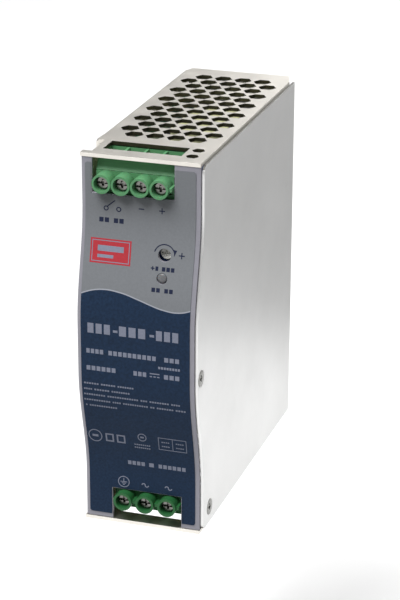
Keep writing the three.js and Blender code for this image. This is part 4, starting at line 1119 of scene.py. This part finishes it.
    def build(self) -> None:
        """Lays every mark on the film, one piece for each ink."""
        self._badge()
        for words, ink in ((self.pale_words, self.pale), (self.dark_words, self.dark)):
            for line in words:
                height = (line.z - line.height / 2, line.z + line.height / 2)
                ink += [self._bar(ends, height) for ends in line.blocks()]
        self.dark += self._contact_sign() + self._turn_sign()
        self.dark.append(self._bar((-0.9, 0.9), (108.6, 108.95)))
        self.dark += self._plus(6.7, 108.8, 0.95) + self._plus(13.6, 95.5, 0.95) + self._plus(4.5, 90.9, 0.6)
        self.pale += [self._bar((4.5, 7.7), (56.75, 57.1)),
                      *[self._bar((left, left + 0.8), (55.75, 56.1)) for left in (4.5, 5.7, 6.9)]]
        self.pale += self._earth_sign(-6.64, 15.0) + self._wave_sign(0.7, 14.75) + self._wave_sign(8.6, 14.8)
        self.pale += self._marks_row()
        inks = ((self.dark, Finishes.DARK_INK), (self.pale, Finishes.PALE_INK), (self.red, Finishes.RED_INK))
        for marks, ink in inks:
            whole = marks[0].gather(marks[1:])
            waved(whole, 0.0, 0.0)
            whole.finish(f"label_{ink.name.lower()}", ink, "case", (), "label")


@dataclass
class Cover:
    """The plain right side cover with its two countersunk screws."""

    set_back: float = 1.0
    corner: float = 2.5
    edge: float = 0.2
    head: float = 2.8
    head_height: float = 0.85
    hole: float = 1.7
    screws: tuple[tuple[str, float, float], ...] = (("upper", 4.6, 55.4), ("lower", 14.2, 6.3))
    dimple: tuple[float, float] = (100.8, 89.4)

    def plate(self) -> bpy.types.Object:
        """The cover: its front edge follows the wave."""
        low, high = Place.node("side_cover")
        form = Form.box((low[0], high[0]), (0.0, high[1]), (low[2], high[2]))
        form.round_edges(lambda a, b: max(a.y, b.y) < 0.01 and abs(a.x - b.x) > 0.1, self.corner, 6)
        waved(form, self.set_back, high[1], self.corner + 1)
        face = high[0]
        seats = [Form.turned(Axis.X, (face, y, z), self._seat_profile()) for _, y, z in self.screws]
        pressed = Form.turned(
            Axis.X, (face, *self.dimple), [(0.0, -0.22), (0.6, -0.18), (1.3, 0.02), (1.3, 1.0), (0.0, 1.0)])
        form.carve([*seats, pressed])

        def is_rim_painted_dark(_: Vector, normal: Vector) -> bool:
            """Whether a face is on the sheared upper or lower rim of the plate: its darker finish is raw sheared
            metal with painted shade for the dark line along the cover's edges.
            """
            return abs(normal.z) > 0.6

        # the rims get the darker finish: painted shade along the cover's upper and lower edges on top of the raw
        # sheared metal
        return form.finish("side_cover_plate", Finishes.COVER, "case", ["side_cover"], "sheet",
                           edge=self.edge, segments=3, second=Finishes.SHEARED, on_second=is_rim_painted_dark)

    def _seat_profile(self) -> list[tuple[float, float]]:
        """Countersink, as radius and place from the cover's face."""
        return [(0.0, -2.0), (self.hole, -2.0), (self.hole, -self.head_height), (self.head + 0.25, 0.03),
                (self.head + 0.25, 0.5), (0.0, 0.5)]

    def screw(self, which: str, y: float, z: float) -> bpy.types.Object:
        """A countersunk screw with a cross recess.

        Args:
            which: upper or lower.
            y: place of its axis behind the crest.
            z: height of its axis.

        Returns:
            The screw.
        """
        node = f"cover_screw_{which}"
        low, high = Place.node(node)
        face = high[0]
        shank = 1.4
        form = Form.turned(Axis.X, (face, y, z), [
            (0.0, low[0] - face), (shank, low[0] - face), (shank, -self.head_height - 0.1),
            (self.head - 0.1, -0.16), (self.head - 0.1, -0.06), (self.head - 0.5, 0.0), (0.0, 0.0)])
        form.carve(cross_recess(Axis.X, Vector((face, y, z)), -1.0, 1.45, 0.38, 0.75))
        return form.finish(f"{node}_head", Finishes.STEEL, "case", [node], "steel", edge=0.05)


def cross_recess(
    axis: Axis, centre: Vector, into: float, reach: float, half: float, depth: float
) -> list[Form]:
    """A cross recess that narrows towards its bottom.

    Args:
        axis: the screw's axis.
        centre: the middle of its face.
        into: the way into the metal along the axis, 1 or -1.
        reach: half the length of each arm at the face.
        half: half the width of each arm.
        depth: depth of the recess.

    Returns:
        The two arms as cutters.
    """
    arms = []
    others = [a for a in Axis if a is not axis]
    for long, short in (others, others[::-1]):
        ends: dict[Axis, tuple[float, float]] = {
            axis: (-0.4 * into, depth * into), long: (-reach, reach), short: (-half, half)}
        arm = Form.box(*[[centre[a.value] + e for e in ends[a]] for a in Axis])

        def taper(point: Vector, long: Axis = long) -> Vector:
            """Draws the arm's ends in towards its bottom."""
            down = (point[axis.value] - centre[axis.value]) * into / depth
            moved = point.copy()
            offset = point[long.value] - centre[long.value]
            moved[long.value] = centre[long.value] + offset * (1 - 0.5 * max(0.0, down))
            return moved

        arms.append(arm.reshape(taper))
    return arms


class Side(Enum):
    """Which end of the case a terminal block is at."""

    OUTPUT = 1
    INPUT = -1


@dataclass
class TerminalBlock:
    """A screw terminal block: its moulded housing and its captive screws."""

    side: Side
    columns: tuple[float, ...]
    axis: float
    mouth: float
    boss: float
    bore: float
    finish: Finishes
    wing_reach: tuple[float, float]
    front: float = 8.5
    sink: float = 2.0
    head: float = 2.05
    head_height: float = 1.9
    shank: float = 1.25
    tip: float = 15.2
    wing_rise: float = 2.3
    wing_set_back: float = 0.9
    over: float = 0.013

    @property
    def name(self) -> str:
        """The block's name in the CAD nodes."""
        return self.side.name.lower()

    def _wing(self, x: float, left: float, right: float) -> Form:
        """Pointed web through a boss that meets those of its neighbours."""
        wing = Form.rod(Axis.Y, (0.0, self.mouth + self.wing_set_back, 0.0), (1.0, 1.0),
                        self.front + 0.1 - self.mouth - self.wing_set_back, 4)
        return wing.reshape(lambda p: Vector((
            x + p.x * (right if p.x > 0 else left), p.y, self.axis + p.z * self.wing_rise)))

    def _closing_plate(self) -> Form:
        """Plate behind the bosses that closes the poles' cavities at the front."""
        reach = self.boss + 0.2
        return Form.box((self.columns[0] - reach, self.columns[-1] + reach), (self.front - 0.4, self.front + 0.15),
                        (self.axis - 2.4, self.axis + 2.95))

    def housing(self) -> bpy.types.Object:
        """The moulded housing, with round bosses in place of the CAD model's many-sided ones."""
        node = f"{self.name}_terminal_housing"
        form = Form.copy_of(node)
        length = self.front + 0.2 - self.mouth
        pitch = self.columns[1] - self.columns[0]
        last = len(self.columns) - 1
        solids = []
        for i, x in enumerate(self.columns):
            left = self.wing_reach[0] if i == 0 else pitch / 2 + 0.15
            right = self.wing_reach[1] if i == last else pitch / 2 + 0.15
            solids.append(Form.rod(Axis.Y, (x, self.mouth - self.over, self.axis),
                                   (self.boss + self.over, self.boss + self.over), length, 64))
            solids.append(self._wing(x, left, right))
        form.add([*solids, self._closing_plate()])
        seat = self.sink + self.head_height + 0.1
        bore = (self.bore + self.over, self.bore + self.over)
        form.carve([Form.rod(Axis.Y, (x, self.mouth - 1, self.axis), bore, seat + 1 + self.over, 56)
                    for x in self.columns])
        hole = self.shank + 0.15 + self.over
        form.carve([Form.rod(Axis.Y, (x, self.mouth + 1, self.axis), (hole, hole), 8.0, 24)
                    for x in self.columns])
        return form.finish(f"{self.name}_housing_moulding", self.finish, "case", [node], slot_of(node),
                           edge=0.14)

    def screw(self, index: int, x: float) -> bpy.types.Object:
        """A captive screw with a slot and cross recess.

        Args:
            index: the pole, from 1.
            x: place of its axis across the case.

        Returns:
            The screw.
        """
        node = f"{self.name}_terminal_screw_{index}"
        face = self.mouth + self.sink
        under = self.head_height
        form = Form.turned(Axis.Y, (x, face, self.axis), [
            (0.0, 0.0), (self.head - 0.22, 0.0), (self.head, 0.22), (self.head, under), (self.shank, under),
            (self.shank, self.tip - 0.4 - face), (self.shank - 0.4, self.tip - face), (0.0, self.tip - face)])
        slot = Form.box((x - self.head - 1, x + self.head + 1), (face - 1, face + 0.7),
                        (self.axis - 0.35, self.axis + 0.35))
        form.carve([slot, *cross_recess(Axis.Y, Vector((x, face, self.axis)), 1.0, 1.35, 0.4, 1.1)])
        return form.finish(f"{node}_turned", Finishes.STEEL, body_of(node), [node], "steel", edge=0.06)

    def build(self) -> None:
        """Builds the housing and every screw."""
        self.housing()
        for index, x in enumerate(self.columns, 1):
            self.screw(index, x)


@dataclass
class FrontControls:
    """The trimmer's rotor and the status lamp, seen through their holes."""

    rotor_sides: int = 40

    def rotor(self) -> None:
        """The rotor: a shallow cup with a screwdriver slot across it."""
        low, high = Place.node("trimmer_rotor")
        x, z = TRIMMER_HOLE.x, TRIMMER_HOLE.z
        radius = (high[0] - low[0]) / 2
        depth = high[1] - low[1]
        form = Form.turned(Axis.Y, (x, low[1], z), [
            (0.0, 0.12), (radius - 0.5, 0.12), (radius - 0.42, 0.0), (radius - 0.15, 0.0), (radius, 0.15),
            (radius, depth), (0.0, depth)], self.rotor_sides)
        form.carve([Form.box((x - radius + 0.4, x + radius - 0.4), (low[1] - 1, low[1] + 0.9),
                             (z - 0.32, z + 0.32)),
                    Form.box((x - 0.28, x + 0.28), (low[1] - 1, low[1] + 0.7), (z - 1.1, z + 1.1))])
        form.finish("trimmer_rotor_turned", Finishes.WHITE, body_of("trimmer_rotor"), ["trimmer_rotor"],
                    slot_of("trimmer_rotor"), edge=0.04)

    def lamp(self) -> None:
        """The lamp: a collar with a low domed lens."""
        low, high = Place.node("status_lamp")
        x, z = LAMP_HOLE.x, LAMP_HOLE.z
        collar = (high[0] - low[0]) / 2
        lens = LAMP_HOLE.radius - 0.12
        depth = high[1] - low[1]
        dome = [(lens * math.sin(a), 0.75 * (1 - math.cos(a)))
                for a in (math.radians(10.0 * i) for i in range(10))]
        step = 2.2
        form = Form.turned(Axis.Y, (x, low[1], z), [
            *dome, (lens, step), (collar, step), (collar, depth), (0.0, depth)], self.rotor_sides)
        form.finish("status_lamp_lens", Finishes.LAMP, "case", ["status_lamp"], "lamp")

    def build(self) -> None:
        """Builds both."""
        self.rotor()
        self.lamp()


@dataclass
class FoldedCase:
    """The folded case: its punched edges are raw and dull, coloured dark as painted shade inside the vents and slots,
    and its long bends are rounded.
    """

    edge: float = 0.06
    bend: float = 0.9
    sheet: float = 1.2
    inset: tuple[float, float] = (3.2, 0.6)

    def build(self) -> None:
        """Builds the case from its CAD shape."""
        low, high = Place.node("chassis")
        form = Form.copy_of("chassis")

        def is_bend(a: Vector, b: Vector) -> bool:
            """Whether an edge is the outside of a bend along the left side or across the rear."""
            left = max(a.x, b.x) < low[0] + 0.01 and abs(a.y - b.y) > 10
            rear = min(a.y, b.y) > high[1] - 0.01 and abs(a.x - b.x) > 10
            return (left or rear) and (max(a.z, b.z) < low[2] + 0.01 or min(a.z, b.z) > high[2] - 0.01)

        form.round_edges(is_bend, self.bend, 5)

        def is_punched_wall_painted_shade(middle: Vector, normal: Vector) -> bool:
            """Whether a face is a wall of a vent or of a wire slot: its dark finish is raw cut metal with painted
            shade inside the hole.
            """
            in_sheet = middle.z > high[2] - self.sheet or middle.z < low[2] + self.sheet
            across = low[0] + self.inset[0] < middle.x < high[0] - self.inset[1]
            inside = across and 8 < middle.y < high[1] - 8
            return in_sheet and inside and abs(normal.z) < 0.5

        # vent and slot walls get the dark finish: painted shade inside the holes on top of the raw cut metal
        form.finish("chassis_folded", Finishes.SHEET, "case", ["chassis"], "sheet", edge=self.edge,
                    second=Finishes.PUNCHED, on_second=is_punched_wall_painted_shade)


@dataclass
class TransformerWrap:
    """A band of tape round the transformer's core."""

    cover: tuple[float, float] = (1.2, 1.0)
    thickness: float = 0.25

    def build(self) -> None:
        """Builds the band as a closed loop with rounded corners."""
        low, high = Place.node("transformer_core")
        x = (low[0] + self.cover[0], high[0] - self.cover[1])
        ends = [((low[i] - t, high[i] + t), t) for i in (1, 2) for t in (self.thickness, -0.02)]
        outer = Form.box(x, ends[0][0], ends[2][0])
        outer.round_edges(lambda a, b: abs(a.x - b.x) > 1, 0.6, 4)
        outer.carve([Form.box((x[0] - 1, x[1] + 1), ends[1][0], ends[3][0])])
        outer.finish("transformer_wrap", Finishes.YELLOW, body_of("transformer_core"), (), "yellow")


@dataclass
class LatchSpring:
    """The spring of the rail latch, which the latch presses together as it slides down."""

    travel: float = 5.0
    joint: str = "rail_latch_slide"

    def build(self) -> None:
        """Builds the spring from its CAD shape."""
        node = "latch_spring"
        low, high = Place.node(node)
        spring = Form.copy_of(node).finish(
            "latch_spring_wound", Finishes.STEEL, body_of(node), [node], slot_of(node))
        fixed_end = Place.at((low[0] + high[0]) / 2, (low[1] + high[1]) / 2, low[2])
        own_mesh(spring)


@dataclass
class RoundedCopies:
    """CAD pieces whose shape is right, with their sharp edges rounded and their finish applied."""

    edges: dict[str, float] = field(default_factory=lambda: {
        "rail_clip_plate": 0.25, "rail_latch": 0.25, "transformer_core": 0.35,
        "transformer_winding": 0.5, "x_capacitor": 0.6, "bridge_rectifier": 0.3, "dc_ok_relay": 0.5,
        "primary_transistor": 0.2, "output_rectifier": 0.2, "trimmer_body": 0.2, "main_board": 0.1,
        "front_board": 0.1, "input_board": 0.1, "primary_heat_sink": 0.2, "secondary_heat_sink": 0.2,
    })

    def build(self) -> None:
        """Builds a copy of each piece."""
        for node, edge in self.edges.items():
            slot = slot_of(node)
            form = Form.copy_of(node)
            form.finish(f"{node}_rounded", SLOT_FINISH[slot], body_of(node), [node], slot, edge=edge)


def dress_cad_nodes() -> None:
    """Gives every CAD node that stays in view the finish of its slot."""
    for name, node in frame["nodes"].items():
        if node.hide_render:
            continue
        finish = SLOT_FINISH[slot_of(name)].value.material()
        node.data.materials.clear()
        node.data.materials.append(finish)
        log.info("%s: CAD piece, finish %s", name, finish.name)


# ---------------------------------------------------------------- stage


@dataclass
class Studio:
    """Pale floor, soft lights and the camera."""

    azimuth: float = 17.699
    elevation: float = 20.99
    roll: float = 0.233
    distance: float = 719.354
    across: float = 2.692
    rise: float = -2.075
    lens: float = 128.29
    centre: tuple[float, float, float] = (0.0, -3.15, 62.6)
    floor_size: float = 6.0
    floor_drop: float = 100.0
    flag_spot: tuple[float, float, float] = (0.18, 0.36, -0.02)
    flag_size: tuple[float, float] = (0.4, 0.16)

    def camera(self) -> None:
        """Sets the camera up for the main view."""
        turn, lift, tilt = (math.radians(a) for a in (self.azimuth, self.elevation, self.roll))
        back = Vector((math.sin(turn) * math.cos(lift), -math.cos(turn) * math.cos(lift), math.sin(lift)))
        right = (-back).cross(Vector((0, 0, 1))).normalized()
        up = right.cross(-back)
        side = right * math.cos(tilt) + up * math.sin(tilt)
        top = up * math.cos(tilt) - right * math.sin(tilt)
        spot = Vector(self.centre) + back * self.distance + side * self.across + top * self.rise
        data = bpy.data.cameras.new("camera")
        data.lens = self.lens
        data.sensor_width = 36.0
        data.sensor_fit = "AUTO"
        data.clip_start = 0.01
        camera = bpy.data.objects.new("camera", data)
        camera.matrix_world = Matrix.Translation(spot * MM) @ Matrix((side, top, back)).transposed().to_4x4()
        bpy.context.scene.collection.objects.link(camera)
        bpy.context.scene.camera = camera

    def floor(self) -> None:
        """A plain pale floor, far below: the supply hangs on its rail."""
        bm = bmesh.new()
        bmesh.ops.create_grid(bm, x_segments=1, y_segments=1, size=self.floor_size,
                              matrix=Matrix.Translation((0.0, 0.0, -self.floor_drop * MM)))
        mesh = bpy.data.meshes.new("floor")
        bm.to_mesh(mesh)
        bm.free()
        mesh.materials.append(Finishes.FLOOR.value.material())
        floor = bpy.data.objects.new("floor", mesh)
        floor.visible_diffuse = False
        bpy.context.scene.collection.objects.link(floor)

    def flag(self) -> None:
        """A grey card that only reflections show: it keeps the plain side from washing out."""
        bm = bmesh.new()
        size = Vector((self.flag_size[0] / 2, self.flag_size[1] / 2, 1.0, 1.0))
        turn = Matrix.Rotation(math.radians(90.0), 4, "X")
        bmesh.ops.create_grid(bm, x_segments=1, y_segments=1, size=1.0,
                              matrix=Matrix.Translation(self.flag_spot) @ turn @ Matrix.Diagonal(size))
        mesh = bpy.data.meshes.new("flag")
        bm.to_mesh(mesh)
        bm.free()
        mesh.materials.append(Finishes.CARD.value.material())
        card = bpy.data.objects.new("flag", mesh)
        card.visible_camera = False
        card.visible_shadow = False
        card.visible_diffuse = False
        bpy.context.scene.collection.objects.link(card)

    def light(self, name: str, spot: Sequence[float], size: float, power: float, aim: Sequence[float]) -> None:
        """A soft square light.

        Args:
            name: its name.
            spot: where it stands, in metres.
            size: the length of its side, in metres.
            power: its power, in watts.
            aim: the point that it faces, in metres.
        """
        data = bpy.data.lights.new(name, "AREA")
        data.shape = "SQUARE"
        data.size = size
        data.energy = power
        lamp = bpy.data.objects.new(name, data)
        lamp.location = spot
        lamp.rotation_euler = (Vector(aim) - Vector(spot)).to_track_quat("-Z", "Y").to_euler()
        bpy.context.scene.collection.objects.link(lamp)

    def world(self, strength: float) -> None:
        """Even white surroundings."""
        world = bpy.data.worlds.new("surroundings")
        world.use_nodes = True
        background = world.node_tree.nodes["Background"]
        background.inputs["Color"].default_value = (1.0, 1.0, 1.0, 1.0)
        background.inputs["Strength"].default_value = strength
        bpy.context.scene.world = world

    def build(self) -> None:
        """Sets up the whole stage."""
        self.camera()
        self.floor()
        self.world(0.33)
        self.flag()
        middle = (0.0, 0.0, 0.06)
        self.light("top", (0.3, 0.1, 1.4), 0.8, 6.0, middle)
        self.light("rear", (0.2, 1.7, 0.8), 1.2, 14.0, middle)
        self.light("front", (-0.35, -0.85, 1.6), 0.9, 36.0, middle)
        scene = bpy.context.scene
        scene.view_settings.view_transform = "Standard"


def main() -> None:
    """Builds the stage and each sub-assembly in order."""
    logging.basicConfig(level=logging.INFO, format="%(name)s %(message)s")
    Studio().build()
    front = Front()
    front.panel()
    front.label()
    LabelPrint().build()
    cover = Cover()
    cover.plate()
    for which, y, z in cover.screws:
        cover.screw(which, y, z)
    TerminalBlock(Side.OUTPUT, (-12.125, -5.875, 0.375, 6.625), 116.45, 3.0, 3.05, 2.35,
                  Finishes.LIGHT_GREEN, (3.3, 3.4)).build()
    TerminalBlock(Side.INPUT, (-6.35, 1.15, 8.65), 8.9, 3.5, 3.1, 2.3,
                  Finishes.DARK_GREEN, (3.4, 3.9)).build()
    FrontControls().build()
    FoldedCase().build()
    TransformerWrap().build()
    LatchSpring().build()
    RoundedCopies().build()
    dress_cad_nodes()


if __name__ == "__main__":
    main()
